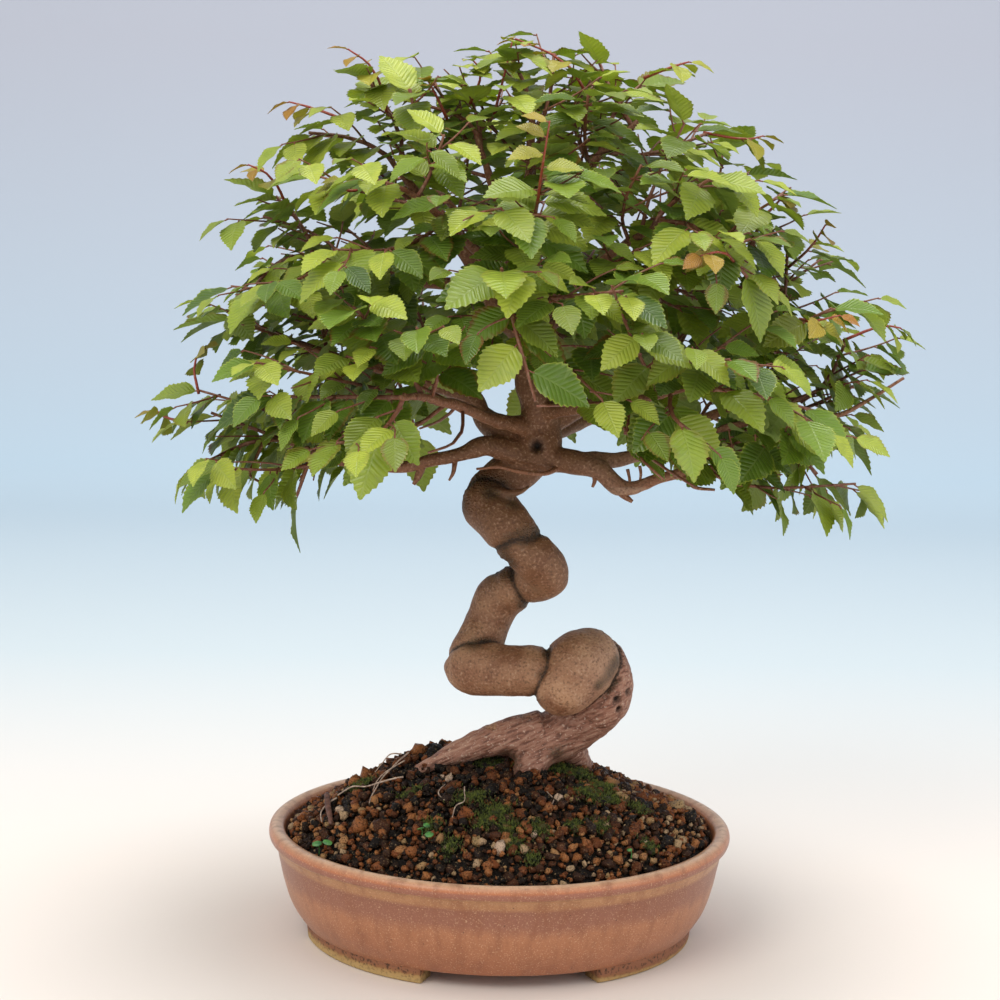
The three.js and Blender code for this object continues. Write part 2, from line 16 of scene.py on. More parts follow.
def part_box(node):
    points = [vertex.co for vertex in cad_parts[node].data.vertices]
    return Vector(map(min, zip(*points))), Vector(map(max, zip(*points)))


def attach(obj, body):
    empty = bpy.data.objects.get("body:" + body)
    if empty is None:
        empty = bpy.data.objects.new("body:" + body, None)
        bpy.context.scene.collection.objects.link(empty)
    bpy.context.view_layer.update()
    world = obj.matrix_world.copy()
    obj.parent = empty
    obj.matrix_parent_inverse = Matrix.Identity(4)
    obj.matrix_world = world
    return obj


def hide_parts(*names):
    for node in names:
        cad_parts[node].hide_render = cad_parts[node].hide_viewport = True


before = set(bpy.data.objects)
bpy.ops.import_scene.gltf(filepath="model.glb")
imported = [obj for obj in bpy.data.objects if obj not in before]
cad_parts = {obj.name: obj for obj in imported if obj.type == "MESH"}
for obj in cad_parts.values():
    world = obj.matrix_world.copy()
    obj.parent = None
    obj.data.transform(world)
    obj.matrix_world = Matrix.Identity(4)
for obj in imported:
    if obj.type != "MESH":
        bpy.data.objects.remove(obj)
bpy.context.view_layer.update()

# %% [markdown]
# Blender works in metres. The pot stands in the middle of our own coordinates, so its box tells how far
# the whole tree has to be shifted to lie where the frame has it.

# %% Where the pot stands
MM = 0.001
pot_low, pot_high = (np.array(corner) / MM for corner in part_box("pot"))
POT_MIDDLE = np.array([*(pot_low + pot_high)[:2] / 2, 0.0])
print("pot middle in mm:", np.round(POT_MIDDLE, 2))

# %% [markdown]
# ## Making meshes from arrays
# A mesh is a list of points and a list of faces, and numpy can work both out in one go. Three small
# helpers turn arrays into objects: one makes the piece, one writes a value on every point that a
# material can read later, and one sews a grid of points together into quads.

# %% Helpers for meshes
def make_piece(name, points, faces, materials=(), face_materials=None):
    """A smooth-shaded object from points in mm and faces as lists of corner numbers."""
    mesh = bpy.data.meshes.new(name)
    mesh.from_pydata((points + POT_MIDDLE) * MM, [], faces)
    mesh.polygons.foreach_set("use_smooth", np.ones(len(mesh.polygons), bool))
    for material in materials:
        mesh.materials.append(material)
    if face_materials is not None:
        mesh.polygons.foreach_set("material_index", np.asarray(face_materials, np.int32))
    mesh.update()
    piece = bpy.data.objects.new(name, mesh)
    bpy.context.scene.collection.objects.link(piece)
    return piece


def write_attribute(piece, name, values):
    """Stores one number on each point of the piece under a name."""
    attribute = piece.data.attributes.new(name, "FLOAT", "POINT")
    attribute.data.foreach_set("value", np.asarray(values, np.float32))


def grid_faces(rows, columns, closed=True):
    """Quads between neighbours of a grid numbered row by row; closed joins the last column to the first."""
    spans = columns if closed else columns - 1
    row, column = np.meshgrid(np.arange(rows - 1), np.arange(spans), indexing="ij")
    a = row * columns + column
    b = row * columns + (column + 1) % columns
    return np.stack([a, b, b + columns, a + columns], axis=-1).reshape(-1, 4)


def unit(vectors):
    """Vectors of length one in the same directions."""
    return vectors / np.linalg.norm(vectors, axis=-1, keepdims=True)


# %% [markdown]
# Nothing natural is even. Smooth noise is the cheapest way to unevenness: a random value at every
# corner of a lattice of cubes, blended inside each cube. The same place always gives the same value.

# %% Smooth noise over space
def lattice_noise(points, cell, seed=0):
    """Noise from -1 to 1: hashed values at the corners of cubes of side cell, eased inside each cube."""
    place = points / cell
    base = np.floor(place).astype(np.int64)
    share = place - base
    share = share * share * (3 - 2 * share)
    total = np.zeros(len(points))
    for corner in range(8):
        offset = np.array([corner & 1, corner >> 1 & 1, corner >> 2])
        key = (base + offset) * np.array([73856093, 19349663, 83492791])
        hashed = key[:, 0] ^ key[:, 1] ^ key[:, 2] ^ (seed * 7919)
        hashed = ((hashed ^ (hashed >> 13)) * 1274126177) & 0x7FFFFFFF
        weight = np.prod(np.where(offset == 1, share, 1 - share), axis=1)
        total += weight * hashed / 0x7FFFFFFF
    return 2 * total - 1


def draws(seed):
    """A function that gives repeatable numbers from 0 to 1, one at each call."""
    mask = 0xFFFFFFFF
    state = seed & mask

    def following():
        nonlocal state
        state = (state + 0x6D2B79F5) & mask
        t = ((state ^ (state >> 15)) * (state | 1)) & mask
        t ^= (t + ((t ^ (t >> 7)) * (t | 61))) & mask
        return (t ^ (t >> 14)) / 4294967296

    return following


# %% [markdown]
# ## The wood
# The trunk was coiled when young, so it is a string of short rounded lobes, pressed against each other.
# Each lobe is given by a few points with a radius, and a smooth curve runs through them.

# %% Sizes of the wood: x, y, z and radius in mm
TRUNK_LOBES = [
    [(6, 0, 103, 7.5), (15, 1, 99, 11.5), (31, 4, 105, 14), (44, 0, 115.5, 14), (53.5, -5, 126, 13.4),
     (54.8, -5, 137, 12.6), (50, -3, 145, 13.6)],
    [(44, -7, 145, 18), (38, -13, 143, 18.6), (31, -16, 135.5, 16.4)],
    [(33, -15, 138, 12.4), (17, -13, 141, 13.4), (3, -10, 140.6, 13.6), (-14.5, -2, 140.5, 15)],
    [(-15, 3, 146, 13.4), (-12, 6, 152, 12.6), (-8, 9, 162, 11.8), (-3, 9, 174, 12.2), (5, 5, 182, 11.8)],
    [(3, 7, 182, 10.4), (14, 1, 186, 11.2), (21.6, -5, 190.5, 11.7), (17, -11, 199, 11.6),
     (5, -13, 208, 11.6)],
    [(7, -11, 208, 12.4), (-0.5, -11, 217, 13.6), (-9.5, -3, 226, 14)],
    [(-10, -1, 227, 13), (-4, 7, 236, 11.4), (7, 8, 244, 11.6), (16, 3, 257, 11.8)],
]
ROOTS = [
    [(21, 1, 106, 11.5), (8, 0, 104, 9), (-6, -1, 101, 7.8), (-19, -2, 96, 6), (-32, -4, 91, 4.4),
     (-44, -6, 85, 2.4)],
    [(20, 1, 98, 12), (15.5, -4, 89, 8.8), (12, -7, 80, 6.4), (11, -8, 69, 5)],
    [(31, 8, 101, 9.4), (40, 20, 88, 6.6), (47, 32, 77, 4)],
    [(12, 5, 100, 8), (2, 18, 89, 6.4), (-6, 30, 80, 4)],
]
LEADER = [
    (15, 2, 248, 13), (17, 1, 262, 10.8), (15, -1, 277, 9.5), (12, -2, 290, 9), (9, 0, 307, 8.4),
    (5, 2, 330, 7.4), (3, 3, 349, 6.2), (6, 0, 373, 4.3), (9, -3, 395, 2.9), (9, -4, 422, 1.6),
]
LIMBS = {
    "low_right": [(17, 0, 249, 8), (31, -4, 249, 6.1), (46, -10, 246, 5.1), (60, -14, 237, 3.8),
                  (78, -18, 243, 2.8), (97, -20, 248, 2.3), (117, -22, 249, 1.5)],
    "far_right": [(38, -7, 249, 4.8), (62, 0, 251, 3.6), (80, 6, 256, 2.8), (94, 8, 267, 2.6),
                  (119, 6, 278, 2), (150, 2, 282, 1.4)],
    "mid_right": [(18, 2, 266, 5.1), (46, 8, 278, 3.6), (68, 10, 287, 2.8), (98, 10, 293, 2.3),
                  (126, 8, 305, 1.4)],
    "high_right": [(9, 1, 312, 4.4), (42, 4, 328, 3.2), (76, 2, 340, 2.4), (112, 0, 348, 1.4)],
    "crown_right": [(5, 2, 343, 4), (17, -4, 360, 3), (31, -6, 385, 2.5), (45, -6, 405, 2),
                    (62, -4, 420, 1.4)],
    "low_left": [(12, 0, 251, 7), (-10, -6, 256, 5.1), (-23, -8, 252, 4.1), (-38, -10, 249, 3.5),
                 (-55, -12, 245, 3), (-84, -14, 248, 2.3), (-112, -14, 258, 1.4)],
    "mid_left": [(10, 3, 254, 7.4), (-11, 6, 268, 5.6), (-19, 8, 280, 4.6), (-40, 10, 285, 3.3),
                 (-66, 8, 293, 2.6), (-100, 4, 303, 1.4)],
    "high_left": [(8, 2, 308, 5.6), (-9, 6, 329, 5.1), (-19, 8, 347, 4.1), (-41, 4, 374, 2.8),
                  (-62, 0, 400, 1.4)],
    "side_left": [(-13, 7, 337, 4), (-44, 2, 338, 2.8), (-76, -4, 346, 2), (-106, -6, 350, 1.4)],
    "crown_left": [(4, 1, 356, 3.4), (-9, -8, 384, 2.2), (-18, -12, 412, 1.4)],
    "front_left": [(11, -2, 266, 5), (-8, -24, 272, 3.6), (-24, -50, 281, 2.8), (-40, -80, 288, 2),
                   (-50, -102, 290, 1.4)],
    "front_right": [(16, -2, 274, 5), (34, -24, 278, 3.6), (50, -50, 283, 2.7), (68, -76, 290, 2),
                    (82, -95, 296, 1.4)],
    "front_mid": [(11, -2, 298, 4.6), (8, -26, 313, 3.3), (4, -52, 326, 2.5), (2, -82, 334, 1.8),
                  (0, -98, 335, 1.4)],
    "front_high_left": [(4, 1, 334, 4), (-14, -22, 352, 2.8), (-34, -46, 372, 2), (-50, -64, 384, 1.4)],
    "front_high_right": [(7, 0, 322, 4), (28, -22, 338, 2.8), (52, -42, 358, 2.1), (72, -58, 372, 1.4)],
    "back_left": [(13, 4, 260, 5.4), (-10, 28, 268, 3.8), (-32, 54, 278, 2.8), (-54, 82, 286, 2),
                  (-66, 100, 288, 1.4)],
    "back_right": [(17, 4, 261, 5.4), (40, 30, 266, 3.8), (62, 54, 276, 2.8), (86, 76, 286, 2),
                   (100, 88, 290, 1.4)],
    "back_mid": [(13, 1, 290, 4.8), (16, 26, 302, 3.4), (18, 54, 312, 2.6), (20, 84, 320, 1.9),
                 (20, 100, 322, 1.4)],
    "back_high_left": [(4, 4, 332, 4), (-12, 26, 352, 2.8), (-30, 46, 374, 2), (-44, 60, 388, 1.4)],
    "back_high_right": [(4, 3, 346, 3.8), (22, 24, 364, 2.6), (42, 42, 382, 2), (56, 54, 394, 1.4)],
}
print(len(TRUNK_LOBES), "lobes,", len(ROOTS), "roots,", len(LIMBS), "limbs")

# %% [markdown]
# The curve is a Catmull-Rom spline, which passes through every point that it is given. Blender has
# curves of its own, but here the same formula also has to give the radius and the places of twigs.

# %% A smooth curve through points
def on_curve(points, t):
    """Rows of the Catmull-Rom curve through the points at shares t from 0 to 1, with mirrored ends."""
    points = np.asarray(points, float)
    padded = np.vstack([2 * points[0] - points[1], points, 2 * points[-1] - points[-2]])
    place = np.clip(t, 0, 1) * (len(points) - 1)
    k = np.minimum(place.astype(int), len(points) - 2)
    f = (place - k)[:, None]
    p0, p1, p2, p3 = (padded[k + step] for step in range(4))
    return 0.5 * (2 * p1 + (p2 - p0) * f + (2 * p0 - 5 * p1 + 4 * p2 - p3) * f ** 2
                  + (3 * p1 - p0 - 3 * p2 + p3) * f ** 3)


def tubes(centres, radii, sides):
    """Points of many round tubes at once: circles of radius r square to each path.

    The result's shape is (tubes, steps, sides, 3).
    """
    tangent = unit(np.gradient(centres, axis=1))
    overall = np.abs(unit(centres[:, -1] - centres[:, 0]))
    reference = np.eye(3)[np.argmin(overall, axis=1)][:, None, :]
    across = unit(np.cross(tangent, reference))
    along = np.cross(tangent, across)
    angle = 2 * np.pi * np.arange(sides) / sides
    ring = (np.cos(angle)[:, None] * across[:, :, None, :] + np.sin(angle)[:, None] * along[:, :, None, :])
    return centres[:, :, None, :] + radii[:, :, None, None] * ring


def tube_faces(steps, sides):
    """Faces of one closed tube: quads round it and a flat face at each end."""
    ends = [tuple(range(sides))[::-1], tuple((steps - 1) * sides + s for s in range(sides))]
    return [tuple(face) for face in grid_faces(steps, sides)] + ends


def join_parts(parts):
    """One list of points and one of faces from several (points, faces) pairs."""
    points, faces, start = [], [], 0
    for part_points, part_faces in parts:
        points.append(part_points.reshape(-1, 3))
        faces += [tuple(corner + start for corner in face) for face in part_faces]
        start += len(points[-1])
    return np.vstack(points), faces


# %% [markdown]
# ## Where the twigs grow
# The frame holds one leafy shoot for each twig. To dress the same twigs, this cell grows them by the
# same rule: every tip on the crown's surface is fed from the nearest free place on a limb, by the
# first bend that passes clear of the wood.

# %% Sizes of the crown
CROWN_CENTRE = np.array([12.0, 0.0, 268.0])
CROWN_RADII = np.array([188.0, 150.0, 193.0])
OUTLINE_TIPS = [
    (-84, -22, 238), (-128, -10, 222), (-168, -14, 247), (-174, 0, 270), (-162, -4, 326), (-148, 4, 345),
    (-133, 0, 392), (-112, -4, 424), (-80, -8, 452), (-46, 2, 436), (-24, -4, 443), (-2, -12, 458),
    (20, 4, 462), (44, 6, 458), (66, -4, 448), (104, 2, 427), (138, -4, 386), (156, 2, 369),
    (192, -4, 320), (200, -2, 294), (192, 4, 268), (182, 4, 240), (158, -6, 238), (122, -24, 240),
]
COVER_ROWS = [(5, -5, 5), (26, 22, 5), (47, 45, 3), (67, 66, 2)]
FIT_GAP = 0.35
LEAF_LENGTH = 31.0
LEAF_WIDTH = 0.62
LEAF_ARCH = 0.2
LEAF_FOLD = 0.22
LEAF_SPACING = 11.0
LEAF_REACH = 23.0
LEAF_REACH_TOP = 9.0
LEAVES_MOST = 6
LAST_LEAF_INSET = 2.6
LEAF_ROOM = 6.0
WOOD_ROOM = 3.2
LEAF_TRIES = 24
VIEW_MIDDLE, VIEW_HALF_WIDTH, VIEW_TOP, VIEW_REAR = 8.0, 48.0, 276.0, 12.0
TWIG_STEPS = 3
TWIG_ROOT = 1.3
TWIG_TIP = 0.8
WOOD_STEP = 4
# Twigs sit on the outer part of a limb, where it is thin enough, and keep apart from each other
OUTER_PART = 0.4
THICKEST_SEAT = 4.6
SEAT_SPACING = 7
SEAT_CLEARANCE = 6
SEATS_TRIED = 14
# How far a twig bends off its limb and on to its tip, in shares of its length; lifts are tried in turn
BEND_OFF, BEND_ON = 0.16, 0.12
BEND_LIFTS = (0.14, 0.05, 0.24, -0.08, 0.34)
UP = np.array([0.0, 0.0, 1.0])


# %% Grow the twigs
def wood_points(line):
    """Places with radius every WOOD_STEP mm along straight stretches between the points of a line."""
    line = np.array(line, float)
    stretches = []
    for start, end in zip(line[:-1], line[1:]):
        count = math.ceil(np.linalg.norm(end[:3] - start[:3]) / WOOD_STEP)
        stretches.append(start + (end - start) * (np.arange(1, count + 1)[:, None] / count))
    return np.vstack(stretches)


def on_twig(twig, t):
    """Places on a twig, whose quadratic arc is taken in a few straight steps."""
    t = np.atleast_1d(np.asarray(t, float))
    knot = np.minimum(np.floor(t * TWIG_STEPS), TWIG_STEPS - 1)
    low, high = (smooth_twig(twig, (knot + step) / TWIG_STEPS) for step in (0, 1))
    return low + (high - low) * (t * TWIG_STEPS - knot)[:, None]


def smooth_twig(twig, s):
    """Places on the arc itself: from, bend and tip blended as (1-s)^2, 2s(1-s) and s^2."""
    s = np.atleast_1d(s)[:, None]
    return twig["from"] * (1 - s) ** 2 + twig["bend"] * 2 * s * (1 - s) + twig["tip"] * s ** 2


def twig_wood(twig):
    """Places with radius about every WOOD_STEP mm along a twig."""
    count = math.ceil(twig["length"] / WOOD_STEP)
    t = np.arange(count + 1) / count
    radius = twig["root"] + (twig["end"] - twig["root"]) * t
    return np.column_stack([on_twig(twig, t), radius])


def place_on(twig, t):
    """A place on a twig, the way that the twig runs there and the way out of the crown."""
    point, before, after = on_twig(twig, [t, t - 0.02, min(t + 0.02, 1)])
    return point, unit(after - before), unit((point - CROWN_CENTRE) / CROWN_RADII ** 2)


def is_clear(points, wood, gap):
    """Whether each point is further than gap from the surface of all the wood."""
    apart = np.linalg.norm(points[:, None, :] - wood[None, :, :3], axis=2) - wood[None, :, 3]
    return (apart > np.reshape(gap, (-1, 1))).all(axis=1)


def cover_tips():
    """Tips spread over the front and the back of the crown, row by row, each a little off its even place."""
    tips = []
    for row, (front_rise, back_rise, count) in enumerate(COVER_ROWS):
        for face in (-1, 1):
            elevation = front_rise if face < 0 else back_rise
            for k in range(count):
                following = draws(9000 + 100 * row + 10 * (face + 1) + k)
                shift = 0.35 if row % 2 else -0.05
                azimuth = math.radians(30 + 120 * (k + 0.25 + shift + 0.2 * following()) / (count - 0.3))
                rise = math.radians(elevation + 8 * (following() - 0.5))
                level = math.cos(rise)
                tips.append(CROWN_CENTRE + CROWN_RADII * (
                    level * math.cos(azimuth), level * math.sin(azimuth) * face, math.sin(rise)))
    return tips


def seats_on(limbs):
    """Free places for twigs on the outer part of each limb, with the way the limb runs there."""
    seats = []
    for line in map(wood_points, limbs):
        for k in range(1, len(line)):
            if k >= OUTER_PART * len(line) and line[k, 3] <= THICKEST_SEAT:
                tangent = unit(line[k, :3] - line[k - 1, :3])
                seats.append({"point": line[k, :3], "radius": line[k, 3], "tangent": tangent,
                              "end": k == len(line) - 1, "taken": False})
    return seats


def feed_tip(tip, seats, wood, nearest=22):
    """The first clear twig to a tip from the nearest free seats, or None."""
    free = [(np.linalg.norm(tip - seat["point"]), k) for k, seat in enumerate(seats) if not seat["taken"]]
    for reach, k in sorted(pair for pair in free if pair[0] > nearest)[:SEATS_TRIED]:
        seat = seats[k]
        to_tip = unit(tip - seat["point"])
        along = seat["tangent"]
        square = along if seat["end"] else unit(to_tip - to_tip.dot(along) * along)
        start = seat["point"] + square * (FIT_GAP + 0.15 if seat["end"] else 0)
        for lift in BEND_LIFTS:
            bend = start + square * (BEND_OFF + lift) * reach + to_tip * BEND_ON * reach
            twig = {"from": start, "bend": bend, "tip": tip, "length": reach,
                    "root": TWIG_ROOT, "end": TWIG_TIP}
            line = twig_wood(twig)
            beyond = np.linalg.norm(line[:, :3] - start, axis=1) >= seat["radius"] + SEAT_CLEARANCE
            outside = line[beyond, :3]
            if to_tip.dot(square) > 0.15 and is_clear(outside, wood, WOOD_ROOM).all():
                for other in seats:
                    other["taken"] |= bool(np.linalg.norm(other["point"] - seat["point"]) < SEAT_SPACING)
                return twig
    return None


wood = np.vstack([wood_points(line) for line in [*TRUNK_LOBES, LEADER, *LIMBS.values()]])
seats = seats_on([*LIMBS.values(), LEADER])
twigs = []
for index, target in enumerate([*OUTLINE_TIPS, *cover_tips()]):
    target = np.array(target, float)
    outward = unit(target - CROWN_CENTRE)
    leaf_reach = LEAF_REACH + (LEAF_REACH_TOP - LEAF_REACH) * max(outward[2], 0) ** 3
    twig = feed_tip(target - leaf_reach * outward, seats, wood)
    if twig:
        twigs.append({**twig, "index": index})
        wood = np.vstack([wood, twig_wood(twig)])
shoot_count = sum(name.startswith("shoot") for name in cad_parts)
print(len(twigs), "twigs; the frame holds", shoot_count, "shoots")

# %% [markdown]
# Leaves sit alternately left and right of their twig. Each leaf has a frame of its own: the way it
# points, the way across it and the way it faces, partly up and partly out of the crown, with some
# chance in each. A place is left out where a leaf would push through wood or another leaf.

# %% Place the leaves of the frame
NEARBY = 44.0
# Degrees between twig and leaf for side leaves, and for end leaves, which turn further on steep twigs
SIDE_SPREAD, SIDE_SPREAD_MORE = 48, 22
END_SPREAD, END_SPREAD_STEEP = 12, 65
LEAF_CHECKS = np.array([
    (0.16, 0), (0.28, -0.5), (0.28, 0.5), (0.4, -0.95), (0.4, 0), (0.4, 0.95), (0.54, -0.45),
    (0.54, 0.45), (0.62, -0.75), (0.62, 0.75), (0.68, 0), (0.8, -0.4), (0.8, 0.4), (0.98, 0)])


def leaf_frame(twig, t, side, following, size=1.0, flat=0.0):
    """Root, axis, across, face and length of a leaf at share t of a twig.

    Side is -1 or 1, or 0 for the end leaf; flat turns the faces of high leaves further up.
    """
    point, ahead, outward = place_on(twig, t)
    level = UP if abs(ahead[2]) < 0.85 else unit(np.array([outward[0], outward[1], 0.3]))
    aside = unit(np.cross(level, ahead))
    steep = max(ahead[2], 0) ** 2
    spread = math.radians(SIDE_SPREAD + SIDE_SPREAD_MORE * following() if side
                          else END_SPREAD * (following() - 0.5) + END_SPREAD_STEEP * steep)
    low = min(max((CROWN_CENTRE[2] - point[2]) / 40, 0), 1)
    high = min(max((point[2] - CROWN_CENTRE[2]) / 110, 0), 1)
    droop = 0.25 + 0.45 * following() + 0.6 * low
    axis = ahead * math.cos(spread) + aside * (side or 1) * math.sin(spread) - UP * droop
    axis = unit(axis + outward * 0.25 * following())
    face = UP * (0.3 + 0.35 * following() + flat * high) + outward * (0.45 + 0.55 * following())
    face = face + aside * 0.5 * (following() - 0.5)
    face = unit(face - face.dot(axis) * axis)
    length = LEAF_LENGTH * (0.82 + 0.28 * following()) * size
    return {"root": point, "axis": axis, "across": np.cross(face, axis), "face": face, "length": length}


def on_leaf(leaf, u, w):
    """Points of a blade at share u of its length and w of its half width, arched along and folded across."""
    u, w = np.asarray(u)[..., None], np.asarray(w)[..., None]
    rise = LEAF_FOLD * LEAF_WIDTH * 0.5 * np.abs(w) - LEAF_ARCH * u * u
    return leaf["root"] + leaf["length"] * (
        u * leaf["axis"] + w * 0.5 * LEAF_WIDTH * leaf["across"] + rise * leaf["face"])


def hides_trunk(points):
    """Whether each point lies in the part that is kept open so that the top of the trunk is seen."""
    return ((np.abs(points[:, 0] - VIEW_MIDDLE) < VIEW_HALF_WIDTH) & (points[:, 2] < VIEW_TOP)
            & (points[:, 1] < VIEW_REAR))


def place_leaf(twig, t, side, seed, wood, taken, room=LEAF_ROOM, wood_room=WOOD_ROOM, size=1.0, flat=0.0):
    """A leaf that keeps clear of the wood and of the check points already taken, or None."""
    following = draws(seed)
    gaps = np.r_[min(1.4, wood_room), np.full(len(LEAF_CHECKS) - 1, wood_room)]
    root = on_twig(twig, t)[0]
    wood = wood[np.linalg.norm(wood[:, :3] - root, axis=1) - wood[:, 3] < NEARBY]
    taken = taken[np.linalg.norm(taken - root, axis=1) < NEARBY]
    for _ in range(LEAF_TRIES):
        leaf = leaf_frame(twig, t, side, following, size, flat)
        checks = on_leaf(leaf, LEAF_CHECKS[:, 0], LEAF_CHECKS[:, 1])
        apart = np.linalg.norm(checks[:, None, :] - taken[None, :, :], axis=2)
        if not hides_trunk(checks).any() and (apart > room).all() and is_clear(checks, wood, gaps).all():
            return {**leaf, "checks": checks}
    return None


taken = np.zeros((0, 3))
shoots = [{"twigs": [twig], "leaves": []} for twig in twigs]
for turn in (1, -1):
    for shoot in shoots:
        twig = shoot["twigs"][0]
        for k in range(0 if turn > 0 else 1, min(LEAVES_MOST, 1 + int(0.86 * twig["length"] / LEAF_SPACING))):
            from_tip = (k if turn > 0 else k - 0.5) * LEAF_SPACING if k else LAST_LEAF_INSET
            side = 0 if k == 0 else (turn if k % 2 else -turn)
            seed = 1000 * (twig["index"] + 1) + k + (0 if turn > 0 else 500)
            leaf = place_leaf(twig, 1 - from_tip / twig["length"], side, seed, wood, taken)
            if leaf:
                shoot["leaves"].append(leaf)
                taken = np.vstack([taken, leaf["checks"]])
print(sum(len(shoot["leaves"]) for shoot in shoots), "leaves stand where the frame has them")

# %% [markdown]
# ## Filling the crown
# The frame holds one leaf in six or seven. The rest follow from it: the crown also has an inner layer
# of twigs, every twig carries side twigs, and every side twig carries leaves of its own, smaller
# towards the tip. They may stand closer than the solids could, and each joins the shoot that it grows
# nearest to.

# %% Sizes of the finer growth
INNER_LAYERS = [(0.90, 84), (0.76, 56), (0.55, 26)]
LOWEST_INNER = -0.14
LOWEST_LEAF = 232.0
LEFT_SAG = 0.3
RIGHT_SAG = 0.45
FRONT_RISE = 0.1
HOLLOW_RISE = 50.0
HOLLOW_WIDTH = 52.0
FINE_FLAT = 0.9
FINE_ROOM = 3.3
FINE_WOOD_ROOM = 1.0
SIDE_TWIG_SPACING = 10.0
SIDE_TWIG_LENGTHS = (17.0, 34.0)
SIDE_LEAF_SPACING = 7.5
GOLDEN_TURN = math.pi * (3 - math.sqrt(5))


# %% Grow the inner layers of twigs
def hangs_low(points):
    """Whether each point is under the crown: a plane that sags at both sides and rises over the trunk."""
    x, y, z = points.T
    hollow = HOLLOW_RISE * np.exp(-((x - VIEW_MIDDLE) / HOLLOW_WIDTH) ** 2)
    sag = LEFT_SAG * np.maximum(-x - 70, 0) + RIGHT_SAG * np.maximum(x - 100, 0)
    return z < LOWEST_LEAF - sag - FRONT_RISE * np.minimum(y, 0) + hollow


def spiral_directions(count):
    """Even directions over the ball: equal steps in height, a golden turn between neighbours."""
    height = 1 - 2 * (np.arange(count) + 0.5) / count
    turn = GOLDEN_TURN * np.arange(count)
    flat = np.sqrt(1 - height ** 2)
    return np.column_stack([flat * np.cos(turn), flat * np.sin(turn), height])


inner_seats = seats_on([*LIMBS.values(), LEADER])
for seat in inner_seats:
    used = min(np.linalg.norm(seat["point"] - twig["from"]) for twig in twigs)
    seat["taken"] = bool(used < 5)
outer_tips = np.array([twig["tip"] for twig in twigs])
inner_twigs = []
for share, count in INNER_LAYERS:
    for direction in spiral_directions(count):
        if direction[2] < LOWEST_INNER:
            continue
        tip = CROWN_CENTRE + CROWN_RADII * share * direction
        twig = feed_tip(tip, inner_seats, wood, nearest=14)
        if twig:
            owner = int(np.argmin(np.linalg.norm(outer_tips - tip, axis=1)))
            inner_twigs.append((owner, {**twig, "index": 100 + len(inner_twigs), "root": 1.1, "end": 0.6}))
            wood = np.vstack([wood, twig_wood(inner_twigs[-1][1])])
for owner, twig in inner_twigs:
    shoots[owner]["twigs"].append(twig)
print(len(inner_twigs), "inner twigs")


# %% Grow side twigs and leaves on every twig
def side_twig(twig, t, turn, following, wood):
    """A short twig that leaves its parent at a half right angle, turned round it, and bends out, or None."""
    point, ahead, outward = place_on(twig, t)
    aside = unit(np.cross(UP + 0.3 * outward, ahead))
    over = np.cross(ahead, aside)
    reach = SIDE_TWIG_LENGTHS[0] + (SIDE_TWIG_LENGTHS[1] - SIDE_TWIG_LENGTHS[0]) * following()
    sideways = aside * math.cos(turn) + over * math.sin(turn) * 0.6
    away = unit(0.75 * ahead + sideways + 0.25 * outward)
    tip = point + away * reach - UP * 0.06 * reach
    found = {"from": point, "bend": point + (away + 0.35 * sideways) * 0.45 * reach, "tip": tip,
             "length": reach, "root": 0.6, "end": 0.35, "index": twig["index"]}
    line = twig_wood(found)[2:, :3]
    inside = (((tip - CROWN_CENTRE) / (CROWN_RADII + 4)) ** 2).sum() < 1
    seen = hides_trunk(line).any() or hangs_low(line + (0, 0, -12)).any()
    return found if inside and not seen and is_clear(line, wood, FINE_WOOD_ROOM).all() else None


def leaf_places(length, spacing):
    """Shares of the length, tip first, with sides 0, 1, -1, 1, ... for leaves at even spacing."""
    count = 1 + int(0.8 * length / spacing)
    return [(1 - (k * spacing + (0 if k else 1)) / length, 0 if k == 0 else (1 if k % 2 else -1))
            for k in range(count)]


def add_leaf(shoot, twig, t, side, seed, wood, taken, size):
    """Places one finer leaf if there is room, and gives back the check points that are taken then."""
    leaf = place_leaf(twig, t, side, seed, wood, taken, FINE_ROOM, FINE_WOOD_ROOM, size, FINE_FLAT)
    if leaf is None or hangs_low(leaf["checks"]).any():
        return taken
    shoot["leaves"].append(leaf)
    return np.vstack([taken, leaf["checks"]])


for number, shoot in enumerate(shoots):
    for branch, twig in enumerate(list(shoot["twigs"])):
        following = draws(50000 + 100 * number + branch)
        spots = int(0.86 * twig["length"] / SIDE_TWIG_SPACING)
        for k in range(spots):
            t = 1 - (k + 0.7) * SIDE_TWIG_SPACING / twig["length"]
            turn = (math.pi if k % 2 else 0) + 1.6 * (following() - 0.5)
            found = side_twig(twig, t, turn, following, wood) if t > 0.1 else None
            if found:
                shoot["twigs"].append(found)
                wood = np.vstack([wood, twig_wood(found)])
print(sum(len(shoot["twigs"]) for shoot in shoots), "twigs in all")

for number, shoot in enumerate(shoots):
    for branch, twig in enumerate(shoot["twigs"]):
        for k, (t, side) in enumerate(leaf_places(twig["length"], SIDE_LEAF_SPACING)):
            size = 0.58 + 0.3 * min(k / 2, 1) if twig["root"] < 1 else 0.86
            seed = 70000 + 1000 * number + 20 * branch + k
            taken = add_leaf(shoot, twig, t, side, seed, wood, taken, size)
print(sum(len(shoot["leaves"]) for shoot in shoots), "leaves in all")
